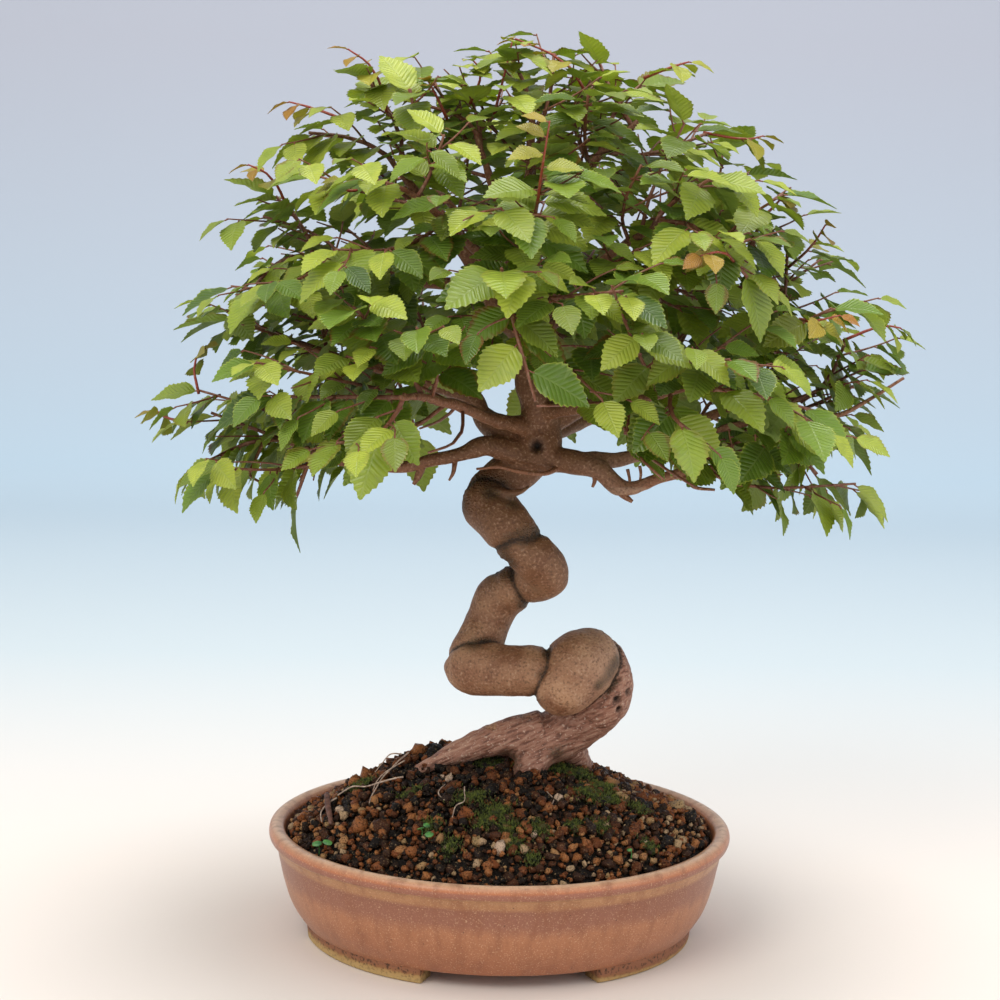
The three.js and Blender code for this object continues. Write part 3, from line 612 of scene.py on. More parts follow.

# %% [markdown]
# A few shoots of this spring stand out of the crown. Their bark is still red and their last leaves are
# bronze. They are listed one by one, because the eye finds them first; each starts on the nearest twig.

# %% Add the shoots of this spring
# Start, bend and tip in mm, then the number of leaves and how bronze the last one is
SPROUTS = [
    ((38, -15, 432), (29, -20, 450), (0, -22, 458), 6, 1.0),
    ((22, -92, 375), (13, -108, 396), (16, -112, 417), 4, 0.5),
    ((-56, -10, 428), (-65, -14, 446), (-82, -14, 452), 6, 0.9),
    ((-88, -10, 415), (-99, -12, 424), (-111, -12, 426), 4, 1.0),
    ((-104, -10, 385), (-117, -12, 393), (-131, -12, 395), 4, 0.9),
    ((143, 0, 352), (152, -4, 359), (157, -6, 371), 4, 0.8),
    ((132, -60, 311), (140, -70, 325), (156, -72, 330), 5, 0.9),
    ((106, -84, 360), (98, -104, 363), (86, -108, 358), 3, 0.8),
    ((-3, -10, 422), (-4, -12, 444), (-1, -12, 459), 3, 0.3),
    ((-13, -14, 424), (-12, -18, 444), (-20, -20, 447), 3, 0.1),
    ((-163, -6, 289), (-162, -8, 298), (-153, -8, 303), 4, 0.6),
    ((127, 0, 375), (134, -2, 380), (137, -2, 388), 4, 0.6),
    ((-79, -60, 372), (-79, -66, 382), (-81, -66, 389), 3, 0.3),
    ((-36, -20, 423), (-38, -24, 431), (-42, -24, 437), 3, 0.8),
    ((-168, -14, 262), (-173, -16, 268), (-176, -16, 272), 3, 0.5),
    ((180, -4, 321), (189, -6, 324), (197, -6, 320), 3, 0.1),
    ((112, -4, 402), (118, -8, 410), (124, -8, 414), 4, 0.6),
    ((70, -30, 438), (76, -34, 446), (84, -34, 448), 4, 0.2),
]
SPROUT_ROOT, SPROUT_TIP = 0.85, 0.4
SPROUT_SPACING = 0.17
SMALLEST_LEAF, NEXT_LEAF_MORE = 0.4, 0.09
BRONZE_FADE = 0.22


def sprout(number, start, bend, tip, count, bronze):
    """A red twig from the nearest wood, and its leaves: the last one smallest and most bronze."""
    base = wood[np.argmin(np.linalg.norm(wood[:, :3] - start, axis=1)), :3]
    twig = {"from": base, "bend": np.array(bend, float), "tip": np.array(tip, float),
            "root": SPROUT_ROOT, "end": SPROUT_TIP, "length": float(np.linalg.norm(tip - base)),
            "index": 400 + number, "red": 1.0}
    following = draws(4000 + number)
    leaves = []
    for k in range(count):
        side = 0 if k == 0 else (1 if k % 2 else -1)
        size = SMALLEST_LEAF + NEXT_LEAF_MORE * k
        leaf = leaf_frame(twig, 1 - 0.02 - SPROUT_SPACING * k, side, following, size)
        leaves.append({**leaf, "bronze": bronze * (1 - BRONZE_FADE * k)})
    return twig, leaves


for number, (start, bend, tip, count, bronze) in enumerate(SPROUTS):
    twig, leaves = sprout(number, start, bend, tip, count, bronze)
    owner = shoots[int(np.argmin(np.linalg.norm(outer_tips - twig["tip"], axis=1)))]
    owner["twigs"].append(twig)
    owner["leaves"] += leaves
print(len(SPROUTS), "shoots of this spring")

# %% [markdown]
# ## The leaf
# A hornbeam leaf is an oval blade with a pointed tip and a toothed margin, with a straight side vein to
# each tooth. One blade is worked out as a pattern in shares of its length and half width, and every
# leaf of the crown is that pattern carried into its own frame. It is a closed shell: an upper and a
# lower face that meet in the margin, where the edges are marked sharp so that each face is shaded alone.

# %% The pattern of one blade
TEETH = 11
TOOTH_REACH = 1.12
TOOTH_LEAN = 0.3
BLADE_START = 0.09
HALF_THICKNESS = 0.15


def half_width(u):
    """Share of the half width at share u: the sine of pi times u to the power 0.78, drawn out at the tip."""
    return np.sin(np.pi * np.clip(u, 0, 1) ** 0.78) ** (0.72 + 0.35 * u)


def blade_pattern():
    """Points (u, w, lift) of a blade and its faces, upper ones first. Every other section ends in a tooth."""
    k = np.arange(1, 2 * TEETH)
    u, tooth = k / (2 * TEETH), k % 2 == 1
    edge_u = u + np.where(tooth, TOOTH_LEAN / TEETH, 0)
    edge_w = half_width(u) * np.where(tooth, TOOTH_REACH, 1)
    edges = [np.column_stack([edge_u, side * edge_w, 0 * u]) for side in (1, -1)]
    ribs = [np.column_stack([u, 0 * u, 0 * u + lift]) for lift in (1, -1)]
    points = np.vstack([[(0, 0, 0), (1, 0, 0)], *edges, *ribs])
    chains = [np.r_[0, 2 + n * len(u) + np.arange(len(u)), 1] for n in range(4)]
    faces = []
    for rib, up in ((chains[2], True), (chains[3], False)):
        for edge, left in ((chains[0], True), (chains[1], False)):
            strip = np.stack([rib[:-1], rib[1:], edge[1:], edge[:-1]], axis=1)
            strip = strip if up == left else strip[:, ::-1]
            faces += [tuple(dict.fromkeys(face)) for face in strip.tolist()]
    return points, faces


BLADE, BLADE_FACES = blade_pattern()
MARGIN_POINTS = 2 + 2 * (2 * TEETH - 1)
print("one blade:", len(BLADE), "points,", len(BLADE_FACES), "faces")

# %% [markdown]
# ## Materials
# Every material is a small tree of shader nodes. One function adds a node, sets it and links it, and
# one turns the hex colours that painters use into the linear values that the renderer wants. Most
# looks are then tables: tints laid over each other, each where a pattern passes from one level to
# another.

# %% Helpers for materials
def linear(code):
    """An sRGB hex colour as linear red, green, blue and alpha."""
    value = np.array([int(code[k:k + 2], 16) / 255 for k in (1, 3, 5)])
    value = np.where(value <= 0.04045, value / 12.92, ((value + 0.055) / 1.055) ** 2.4)
    return (*value.tolist(), 1.0)


def add_node(tree, kind, inputs=None, **settings):
    """A node with its settings; inputs maps socket names or numbers to values, hex colours or sockets."""
    node = tree.nodes.new(kind)
    for name, value in settings.items():
        setattr(node, name, value)
    for key, value in (inputs or {}).items():
        if isinstance(value, bpy.types.NodeSocket):
            tree.links.new(value, node.inputs[key])
        else:
            node.inputs[key].default_value = linear(value) if isinstance(value, str) else value
    return node


def layered(tree, colour, layers, easing="LINEAR"):
    """Tints laid over a colour in turn.

    A layer is (value, low, high, most, tint): the share of the tint runs from 0 to most while the value
    runs from low to high. Values that follow the tint are multiplied into the share.
    """
    for value, low, high, most, tint, *limits in layers:
        share = add_node(tree, "ShaderNodeMapRange", {0: value, 1: low, 2: high, 3: 0.0, 4: most},
                         interpolation_type=easing).outputs[0]
        for limit in limits:
            share = add_node(tree, "ShaderNodeMath", {0: share, 1: limit}, operation="MULTIPLY").outputs[0]
        mixed = add_node(tree, "ShaderNodeMix", {0: share, 6: colour, 7: tint}, data_type="RGBA")
        colour = mixed.outputs[2]
    return colour


def colour_by(tree, value, stops):
    """Colours blended one after the other while the value runs through the stops (value, hex colour)."""
    steps = [(value, low, high, 1.0, tint) for (low, _), (high, tint) in zip(stops[:-1], stops[1:])]
    return layered(tree, stops[0][1], steps)


def weighted_sum(tree, *terms):
    """The sum of the terms, each a weight and the values that it is multiplied by."""
    total = 0.0
    for weight, value, *others in terms:
        for other in others:
            value = add_node(tree, "ShaderNodeMath", {0: value, 1: other}, operation="MULTIPLY").outputs[0]
        total = add_node(tree, "ShaderNodeMath", {0: value, 1: weight, 2: total},
                         operation="MULTIPLY_ADD").outputs[0]
    return total


def new_material(name):
    """An empty material, its node tree and the place on the object as a vector."""
    material = bpy.data.materials.new(name)
    material.use_nodes = True
    tree = material.node_tree
    tree.nodes.clear()
    return material, tree, add_node(tree, "ShaderNodeTexCoord").outputs["Object"]


def close_material(material, colour, looks, height=None, strength=1.0, depth=1.0, **settings):
    """The material with its surface: a colour, looks by the socket's name, and bumps depth mm high."""
    tree = material.node_tree
    if height is not None:
        relief = add_node(tree, "ShaderNodeBump", {
            "Height": height, "Strength": strength, "Distance": depth * MM}, **settings)
        looks = {**looks, "Normal": relief.outputs[0]}
    surface = add_node(tree, "ShaderNodeBsdfPrincipled", {"Base Color": colour, **looks})
    add_node(tree, "ShaderNodeOutputMaterial", {"Surface": surface.outputs[0]})
    return material


# %% [markdown]
# A leaf is a thin skin over green cells. Its upper face has a waxy sheen, light shines through it
# yellower than it bounces off, and the sunken side veins break the sheen into ridges. Young leaves at
# the ends of the shoots are yellow-green, and the very youngest are bronze. Leaves on the crown's
# surface and top are also made paler as painted light, and leaves deep inside darker as painted shade.
# Each leaf carries these facts as attributes, so that one material serves the whole crown.

# %% Leaf materials
VEIN_COUNT = 11
VEIN_SLANT = 0.24
LIGHT_THROUGH = 0.42
LEAF_COLOURS = {
    "deep": "#476621", "full": "#82a23b", "young": "#cfd955", "vein": "#aab870", "edge": "#b9c34f",
    "bronze": "#c9823a", "dry": "#8a5a2e", "under": "#b0c083", "lit": "#cfdc48",
}


def leaf_material(name, upper):
    """Hornbeam leaf, upper or under side, from its attributes and the map over the blade."""
    material, tree, places = new_material(name)
    young, full, deep = (LEAF_COLOURS[key] for key in ("young", "full", "deep"))
    age_and_light, tone_and_inner_shade, bronze, dry, margin = (
        add_node(tree, "ShaderNodeAttribute", attribute_name=key).outputs["Fac"]
        for key in ("age_and_light", "tone_and_inner_shade", "bronze", "dry", "margin"))
    mottle = add_node(tree, "ShaderNodeTexNoise", {
        "Vector": places, "Scale": 1 / (7 * MM), "Detail": 3.0}).outputs["Fac"]

    # How far a spot lies from the midrib, and from the nearest side vein as 0 to 1
    blade = add_node(tree, "ShaderNodeUVMap", uv_map="blade").outputs[0]
    along, sideways, _ = add_node(tree, "ShaderNodeSeparateXYZ", {0: blade}).outputs
    aside = add_node(tree, "ShaderNodeMath", {0: sideways, 1: 0.5}, operation="SUBTRACT").outputs[0]
    across = add_node(tree, "ShaderNodeMath", {0: aside}, operation="ABSOLUTE").outputs[0]
    slanted = weighted_sum(tree, (2 * VEIN_COUNT, along), (-4 * VEIN_COUNT * VEIN_SLANT, across))
    away = add_node(tree, "ShaderNodeMath", {0: slanted, 1: 1.0}, operation="PINGPONG").outputs[0]
    vein, rib, cushion, flank = (
        add_node(tree, "ShaderNodeMapRange", dict(enumerate(ramp)),
                 interpolation_type="SMOOTHSTEP").outputs[0]
        for ramp in ((away, 0.0, 0.24, 1.0, 0.0), (across, 0.008, 0.035, 1.0, 0.0),
                     (away, 0.0, 0.8, 0.0, 1.0), (across, 0.0, 0.05, 0.0, 1.0)))
    line = add_node(tree, "ShaderNodeMath", {0: vein, 1: rib}, operation="MAXIMUM").outputs[0]

    # Painted light and shade: the age attribute makes leaves on the crown's surface and top young and pale,
    # the shade attribute makes leaves deep inside dark.
    colour = layered(tree, young, [(age_and_light, 0.0, 1.0, 1.0, layered(tree, full, [(tone_and_inner_shade, 0.0, 1.0, 1.0, deep)]))])
    colour = layered(tree, colour, [(mottle, 0.4, 0.75, 0.35, full)], "SMOOTHSTEP")
    colour = layered(tree, colour, [(line, 0.0, 1.0, 0.26 if upper else 0.5, LEAF_COLOURS["vein"])])
    colour = layered(tree, colour, [(margin, 0.84, 1.0, 0.75, LEAF_COLOURS["edge"])], "SMOOTHSTEP")
    colour = layered(tree, colour, [(bronze, 0.0, 1.0, 1.0, LEAF_COLOURS["bronze"])])
    spoiled = weighted_sum(tree, (1.0, margin), (1.0, mottle))
    colour = layered(tree, colour, [(spoiled, 1.15, 1.45, 1.0, LEAF_COLOURS["dry"], dry)], "SMOOTHSTEP")
    if not upper:
        colour = layered(tree, colour, [(1.0, 0.0, 1.0, 0.35, LEAF_COLOURS["under"])])
    lit = layered(tree, colour, [(1.0, 0.0, 1.0, 0.45, LEAF_COLOURS["lit"])])

    bulge = weighted_sum(tree, (1.0, cushion, flank))
    relief = add_node(tree, "ShaderNodeBump", {
        "Height": bulge, "Strength": 0.5 if upper else 0.4, "Distance": 0.5 * MM},
        invert=not upper).outputs[0]
    surface = add_node(tree, "ShaderNodeBsdfPrincipled", {
        "Base Color": colour, "Roughness": 0.31 if upper else 0.6, "IOR": 1.45,
        "Specular IOR Level": 0.85 if upper else 0.3, "Normal": relief})
    through = add_node(tree, "ShaderNodeBsdfTranslucent", {"Color": lit, "Normal": relief})
    both = add_node(tree, "ShaderNodeMixShader", {
        0: LIGHT_THROUGH, 1: surface.outputs[0], 2: through.outputs[0]})
    add_node(tree, "ShaderNodeOutputMaterial", {"Surface": both.outputs[0]})
    return material


leaf_upper = leaf_material("hornbeam_leaf_upper", True)
leaf_under = leaf_material("hornbeam_leaf_under", False)

# %% [markdown]
# Young hornbeam bark is thin, reddish brown and a little glossy, with small pale pores. On the old
# trunk it has turned grey-brown and matt, finely wrinkled across the growth, and dark with dirt and
# algae where two coils press together, darkest in the crease as painted shade. The trunk's attributes
# say where those places are. Shade from the crown is painted on the upper lobes, and light on their right
# side.

# %% Bark materials
FIRST_LOBE_SLOPE = 0.46


def twig_material():
    """Young bark: red-brown, satin, with pale pores about 1 mm apart."""
    material, tree, places = new_material("hornbeam_young_bark")
    red = add_node(tree, "ShaderNodeAttribute", attribute_name="red").outputs["Fac"]
    cells = add_node(tree, "ShaderNodeTexNoise", {
        "Vector": places, "Scale": 1 / (1.6 * MM), "Detail": 2.0}).outputs["Fac"]
    colour = layered(tree, "#744a33", [(red, 0.0, 1.0, 1.0, "#93392a"), (cells, 0.5, 0.75, 0.5, "#a58a70")])
    return close_material(material, colour, {"Roughness": 0.5}, cells, 0.4, 0.3)


def trunk_material():
    """Old bark: brown, mottled at 12 mm, speckled at 1 mm, long-grained below, dark grit and painted shade in
    the creases, painted shade high up and painted light on the right side.
    """
    material, tree, places = new_material("hornbeam_old_bark")
    crease, stain, rough, moss, along, young, scar = (
        add_node(tree, "ShaderNodeAttribute", attribute_name=key).outputs["Fac"]
        for key in ("crease", "stain", "rough", "moss", "along", "young", "scar"))
    sideways, _, height = add_node(tree, "ShaderNodeSeparateXYZ", {0: places}).outputs
    with_grain = add_node(tree, "ShaderNodeMapping", {
        0: places, 2: (0.0, -FIRST_LOBE_SLOPE, 0.0), 3: (6.0, 1.0, 1.0)}, vector_type="TEXTURE").outputs[0]
    mottled, speckled, grained = (
        add_node(tree, "ShaderNodeTexNoise", {
            "Vector": vector, "Scale": 1 / (size * MM), "Detail": 4.0}).outputs["Fac"]
        for vector, size in ((places, 12), (places, 1.3), (with_grain, 1.5)))
    crumbs = add_node(tree, "ShaderNodeTexVoronoi", {
        "Vector": places, "Scale": 1 / (1.1 * MM)}).outputs["Distance"]
    around = add_node(tree, "ShaderNodeCombineXYZ", {0: along, 1: mottled}).outputs[0]
    wrinkled = add_node(tree, "ShaderNodeTexNoise", {
        "Vector": around, "Scale": 0.5, "Detail": 3.0}).outputs["Fac"]

    dirty = weighted_sum(tree, (1.0, stain), (1.1, speckled))
    crease_grit_and_shade = weighted_sum(tree, (1.0, crease), (1.0, speckled))
    mossy = weighted_sum(tree, (1.0, moss), (0.9, speckled), (0.6, mottled))
    with_long_grain = layered(tree, "#92634f", [(grained, 0.45, 0.72, 1.0, "#b38a74")])
    crumbly = layered(tree, "#5e4a2c", [(crumbs, 0.2, 0.6, 1.0, "#2a2013")])
    colour = layered(tree, "#86583d", [
        (mottled, 0.35, 0.68, 1.0, "#b68a68"),
        # Painted shade: the bark darkens from 110 to 225 mm high, under the crown.
        (height, 110 * MM, 225 * MM, 0.85, "#674227"),
        # Painted light: the right side of the trunk is paler, as if it were sunlit.
        (sideways, 18 * MM, 46 * MM, 0.4, "#c6a48b"),
        (young, 0.0, 1.0, 1.0, "#86593f"),
        (wrinkled, 0.55, 0.75, 0.3, "#5d4231"),
        (speckled, 0.55, 0.7, 0.45, "#c4a285"),
        (speckled, 0.46, 0.34, 0.6, "#4c3322"),
        (rough, 0.0, 1.0, 1.0, with_long_grain),
        (grained, 0.46, 0.34, 0.75, "#5a3a2e", rough),
        (speckled, 0.6, 0.66, 0.7, "#cdb09c", rough),
        (dirty, 0.9, 1.45, 0.85, "#45331f"),
        (crumbs, 0.3, 0.1, 0.6, "#836a48", stain),
        # Grit with painted shade: near black where the coils pinch together.
        (crease_grit_and_shade, 1.05, 1.5, 0.9, "#2c1f14"),
        (mossy, 1.2, 1.75, 0.8, crumbly),
        (scar, 0.0, 1.0, 1.0, "#1d140e"),
    ])
    relief = weighted_sum(tree, (0.5, wrinkled), (1.0, speckled), (1.9, grained, rough),
                          (-2.0, crumbs, stain))
    return close_material(material, colour, {"Roughness": 0.55, "Specular IOR Level": 0.4}, relief, 0.9, 0.7)


young_bark = twig_material()
old_bark = trunk_material()

# %% [markdown]
# ## The shoots
# All leaves of a shoot share one mesh with its twigs. Because every blade has the same pattern, the
# whole shoot is one array: leaves by points by three coordinates.

# %% Build the shoots
ARCH_RANGE = (0.75, 1.5)
RIPPLE, RIPPLES = 0.02, 2.5
SWAY = 0.05
TWIG_SIDES = 6
TWIG_STATIONS = 9
STALK_SIDES, STALK_STATIONS = 4, 3
STALK_RADIUS = 0.36
TWIG_RED, STALK_RED = 0.15, 0.4


def blades(leaves, following):
    """Points of all blades of a shoot, each arched and rippled by its own chance, with their attributes."""
    root, axis, across, face = (np.array([leaf[key] for leaf in leaves])[:, None, :]
                                for key in ("root", "axis", "across", "face"))
    length = np.array([leaf["length"] for leaf in leaves])[:, None]
    chance = np.array([[following() for _ in range(5)] for _ in leaves])
    arch = LEAF_ARCH * (ARCH_RANGE[0] + (ARCH_RANGE[1] - ARCH_RANGE[0]) * chance[:, :1])
    u = BLADE_START + (1 - BLADE_START) * BLADE[:, 0]
    w = BLADE[:, 1]
    ripple = RIPPLE * np.sin(2 * np.pi * (RIPPLES * u + chance[:, 1:2])) * np.abs(w)
    rise = LEAF_FOLD * LEAF_WIDTH * 0.5 * np.abs(w) - arch * u * u + ripple
    sway = SWAY * (chance[:, 2:3] - 0.5) * u * u
    points = root + length[:, :, None] * (
        u[:, None] * axis + (0.5 * LEAF_WIDTH * w + sway)[:, :, None] * across + rise[:, :, None] * face)
    points = points + (HALF_THICKNESS * BLADE[:, 2])[:, None] * face
    return points, chance


def stalks(leaves):
    """Paths of the leaf stalks, from the twig to just inside the blade."""
    root, axis = (np.array([leaf[key] for leaf in leaves]) for key in ("root", "axis"))
    length = np.array([leaf["length"] for leaf in leaves])[:, None]
    share = np.linspace(0, BLADE_START + 0.03, STALK_STATIONS)
    return root[:, None, :] + (share * length)[:, :, None] * axis[:, None, :]


def leaf_facts(leaves, chance):
    """Age and light, tone and shade, bronze and dryness of each leaf: pale on the crown's surface and top as
    painted light, dark deep inside it as painted shade.
    """
    middle = np.array([on_leaf(leaf, 0.5, 0) for leaf in leaves])
    depth = np.linalg.norm((middle - CROWN_CENTRE) / CROWN_RADII, axis=1)
    size = np.array([leaf["length"] for leaf in leaves]) / LEAF_LENGTH
    # Painted light and shade: leaves high up and on the crown's surface come out paler, leaves deep inside
    # darker, besides their real age and chance.
    high = np.clip((middle[:, 2] - 320) / 110, 0, 1)
    age_and_light = np.clip(1.45 - 0.8 * depth + 0.8 * (size - 0.85) + 1.3 * (chance[:, 3] - 0.5) - 0.35 * high, 0, 1)
    tone_and_inner_shade = np.clip(1.3 - depth + 1.4 * (chance[:, 4] - 0.5), 0, 1)
    bronze = np.array([leaf.get("bronze", 0.0) for leaf in leaves])
    dry = np.where(chance[:, 1] > 0.8, chance[:, 3], 0)
    return {"age_and_light": age_and_light, "tone_and_inner_shade": tone_and_inner_shade, "bronze": bronze, "dry": dry}


def build_shoot(number, shoot):
    """One mesh with the twigs, leaf stalks and blades of a shoot."""
    following = draws(300000 + number)
    t = np.linspace(0, 1, TWIG_STATIONS)
    centres = np.array([on_twig(twig, t) for twig in shoot["twigs"]])
    centres[:, 0] -= 2 * unit(centres[:, 1] - centres[:, 0])
    radii = np.array([twig["root"] + (twig["end"] - twig["root"]) * t for twig in shoot["twigs"]])
    parts = [(tube, tube_faces(TWIG_STATIONS, TWIG_SIDES)) for tube in tubes(centres, radii, TWIG_SIDES)]
    wooden = sum(len(faces) for _, faces in parts)
    leaves = shoot["leaves"]
    if leaves:
        paths = stalks(leaves)
        stalk_faces = tube_faces(STALK_STATIONS, STALK_SIDES)
        stalk_tubes = tubes(paths, np.full(paths.shape[:2], STALK_RADIUS), STALK_SIDES)
        parts += [(tube, stalk_faces) for tube in stalk_tubes]
        wooden += len(leaves) * len(stalk_faces)
        points, chance = blades(leaves, following)
        parts += [(blade, BLADE_FACES) for blade in points]
    points, faces = join_parts(parts)
    red = np.repeat([twig.get("red", TWIG_RED) for twig in shoot["twigs"]], TWIG_STATIONS * TWIG_SIDES)
    upper_then_lower = np.repeat([0, 1], len(BLADE_FACES) // 2)
    looks = np.r_[np.full(wooden, 2), np.tile(upper_then_lower, len(leaves))]
    materials = [leaf_upper, leaf_under, young_bark]
    piece = make_piece(f"leafy_shoot_{number:02d}", points, faces, materials, looks)
    finish_blades(piece, leaves, chance if leaves else None)
    write_attribute(piece, "red", np.r_[red, np.full(len(points) - len(red), STALK_RED)])
    return piece


def finish_blades(piece, leaves, chance):
    """Sharp margins, the blade's UV map and the leaf attributes on the last points of a shoot's mesh."""
    mesh = piece.data
    count = len(mesh.vertices)
    first = count - len(leaves) * len(BLADE)
    uv = np.zeros((count, 2))
    margin = np.zeros(count, bool)
    if leaves:
        uv[first:] = np.tile(BLADE[:, :2] * (1, 0.5) + (0, 0.5), (len(leaves), 1))
        margin[first:] = np.tile(np.arange(len(BLADE)) < MARGIN_POINTS, len(leaves))
        for name, values in leaf_facts(leaves, chance).items():
            write_attribute(piece, name, np.r_[np.zeros(first), np.repeat(values, len(BLADE))])
        write_attribute(piece, "margin", margin)
    corners = np.zeros(len(mesh.loops), np.int32)
    mesh.loops.foreach_get("vertex_index", corners)
    mesh.uv_layers.new(name="blade").data.foreach_set("uv", uv[corners].astype(np.float32).ravel())
    ends = np.zeros(2 * len(mesh.edges), np.int32)
    mesh.edges.foreach_get("vertices", ends)
    sharp = mesh.attributes.new("sharp_edge", "BOOLEAN", "EDGE")
    sharp.data.foreach_set("value", margin[ends.reshape(-1, 2)].all(axis=1))


for number, shoot in enumerate(shoots, start=1):
    piece = build_shoot(number, shoot)
    node = f"shoot_{number:02d}"
    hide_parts(node)
    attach(piece, "root")
print("dressed", len(shoots), "shoots")

# %% [markdown]
# ## The trunk
# Swept tubes that only run into each other would leave hard seams. So the tubes of lobes, roots, leader
# and the thick ends of the limbs are laid into one mesh, and Blender's voxel remesh melts them into a
# single skin. Its voxels are a millimetre wide. The thin ends of the limbs are finer than that, so they
# stay swept tubes, which start inside the skin.

# %% Sizes of the trunk's skin
VOXEL = 1.05
LOBE_STATIONS = 40
LOBE_SIDES, ROOT_SIDES, LEADER_SIDES, COLLAR_SIDES = 36, 20, 18, 14
SMOOTHING_ROUNDS = 3
DOME_ANGLES = np.radians([84, 66, 48, 30, 14])
THIN_LIMB = 2.9
LIMB_SIDES = 10
# Knobbles: share of the radius and mm of wavering, each with the mm from one to the next
SWELLING, SWELLING_CELL = 0.12, 7
WAVERING, WAVERING_CELL = 0.5, 11


def stem_line(points, stations, rounded):
    """Stations of a stem with radius; rounded ones close in domes whose radius falls as the cosine."""
    line = on_curve(points, np.linspace(0, 1, stations))
    if not rounded:
        return line
    domes = []
    for end, inward in ((line[0], line[1]), (line[-1], line[-2])):
        outward = unit(end[:3] - inward[:3])
        domes.append(np.column_stack([end[:3] + np.outer(end[3] * np.sin(DOME_ANGLES), outward),
                                      end[3] * np.cos(DOME_ANGLES)]))
    return np.vstack([domes[0], line, domes[1][::-1]])


def stem_part(line, sides):
    """Points and faces of one closed tube along a line of stations."""
    tube = tubes(line[None, :, :3], line[None, :, 3], sides)[0]
    return tube, tube_faces(len(line), sides)


def knobbly(line, seed):
    """The same stations with swellings: the radius varies by a tenth and the line wavers a little."""
    places = line[:, :3]
    swell = 1 + SWELLING * lattice_noise(places, SWELLING_CELL, seed)
    waver = [lattice_noise(places, WAVERING_CELL, seed + step) for step in (1, 2, 3)]
    return np.column_stack([places + WAVERING * np.stack(waver, axis=-1), line[:, 3] * swell])


BARE_TWIGS = [
    [(96, -20, 266, 1.9), (126, -24, 274, 1.6), (150, -26, 276, 1.4), (170, -26, 280, 1.2),
     (196, -26, 297, 0.7)],
    [(27, -5, 246, 1.6), (18, -14.5, 244, 1.2), (5, -18.5, 245.5, 1.1), (-5, -20.5, 247.5, 0.9),
     (-15, -22, 246.5, 0.6)],
    [(-42, -10, 248, 2.4), (-44.5, -11, 241, 1.9), (-47, -12, 236.5, 1)],
    [(55, -12.5, 240, 2.6), (58, -14, 234.5, 2.1), (63.5, -15, 230.5, 0.8)],
    [(61, -14, 247, 0.9), (62, -15, 241, 0.7), (61.5, -14, 236.5, 0.6)],
    [(67, -15, 249, 0.9), (68, -16, 244, 0.7), (67, -16, 238, 0.5)],
    [(-123, -14, 257, 1), (-127, -16, 247, 0.8), (-129, -16, 240, 0.7), (-119, -16, 236, 0.6),
     (-108, -16, 239, 0.4)],
    [(44, -9, 247, 1.6), (45, -11, 241, 1.2), (44, -11, 237, 0.7)],
    [(-26, -9, 249, 1.6), (-27, -12, 243, 1.1), (-29, -12, 239, 0.6)],
    [(88, -19, 245, 1.4), (94, -24, 240, 1), (104, -27, 239, 0.6)],
]
COLLAR = [(-11, -9, 236, 1.6), (-5, -13.6, 235, 2), (2, -16, 234, 2.2), (8, -14.8, 234.6, 2),
          (11, -11, 236, 1.4)]
thick_lines, thin_lines = [], []
for number, points in enumerate([LEADER, *LIMBS.values()]):
    line = knobbly(stem_line(points, 12 * len(points), False), 40 + number)
    first_thin = int(np.argmax(line[:, 3] < THIN_LIMB))
    thick_lines.append(line[:first_thin + 1])
    thin_lines.append(line[max(first_thin - 2, 0):] * (1, 1, 1, 0.99))
thin_lines += [knobbly(stem_line(points, 7 * len(points), False), 80 + number)
               for number, points in enumerate(BARE_TWIGS)]


# %% Melt the tubes into one skin
def melt(name, parts, voxel, smoothing):
    """One closed skin round all the parts: voxel remesh, then a few rounds of smoothing. Points in mm."""
    points, faces = join_parts(parts)
    draft = make_piece(name, points, faces)
    draft.data.transform(Matrix.Scale(1 / MM, 4))
    remesh = draft.modifiers.new("remesh", "REMESH")
    remesh.mode = "VOXEL"
    remesh.voxel_size = voxel
    smooth = draft.modifiers.new("smooth", "SMOOTH")
    smooth.factor = 0.5
    smooth.iterations = smoothing
    graph = bpy.context.evaluated_depsgraph_get()
    melted = bpy.data.meshes.new_from_object(draft.evaluated_get(graph))
    points = np.zeros(3 * len(melted.vertices))
    melted.vertices.foreach_get("co", points)
    normals = np.zeros(3 * len(melted.vertices))
    melted.vertices.foreach_get("normal", normals)
    faces = np.zeros(len(melted.loops), np.int32)
    melted.loops.foreach_get("vertex_index", faces)
    bpy.data.objects.remove(draft)
    bpy.data.meshes.remove(melted)
    return points.reshape(-1, 3) - POT_MIDDLE, normals.reshape(-1, 3), faces.reshape(-1, 4)


trunk_parts = [stem_part(stem_line(points, LOBE_STATIONS, True), LOBE_SIDES) for points in TRUNK_LOBES]
trunk_parts += [stem_part(stem_line(points, LOBE_STATIONS, False), ROOT_SIDES) for points in ROOTS]
trunk_parts += [stem_part(line, LEADER_SIDES) for line in thick_lines if len(line) > 2]
trunk_parts.append(stem_part(knobbly(stem_line(COLLAR, 30, True), 70), COLLAR_SIDES))
skin, skin_normals, skin_faces = melt("trunk_draft", trunk_parts, VOXEL, SMOOTHING_ROUNDS)
print("trunk skin:", len(skin), "points,", len(skin_faces), "faces")

# %% [markdown]
# The skin now gets what makes it old. Where two coils press together there is a pinched crease, dark
# with grit and painted shade: a place as close to one lobe as to the next. The lowest lobe is rough,
# with long flakes. A material can't know any of this, so it is worked out for every point from the
# distances to the lobes and stored as attributes.

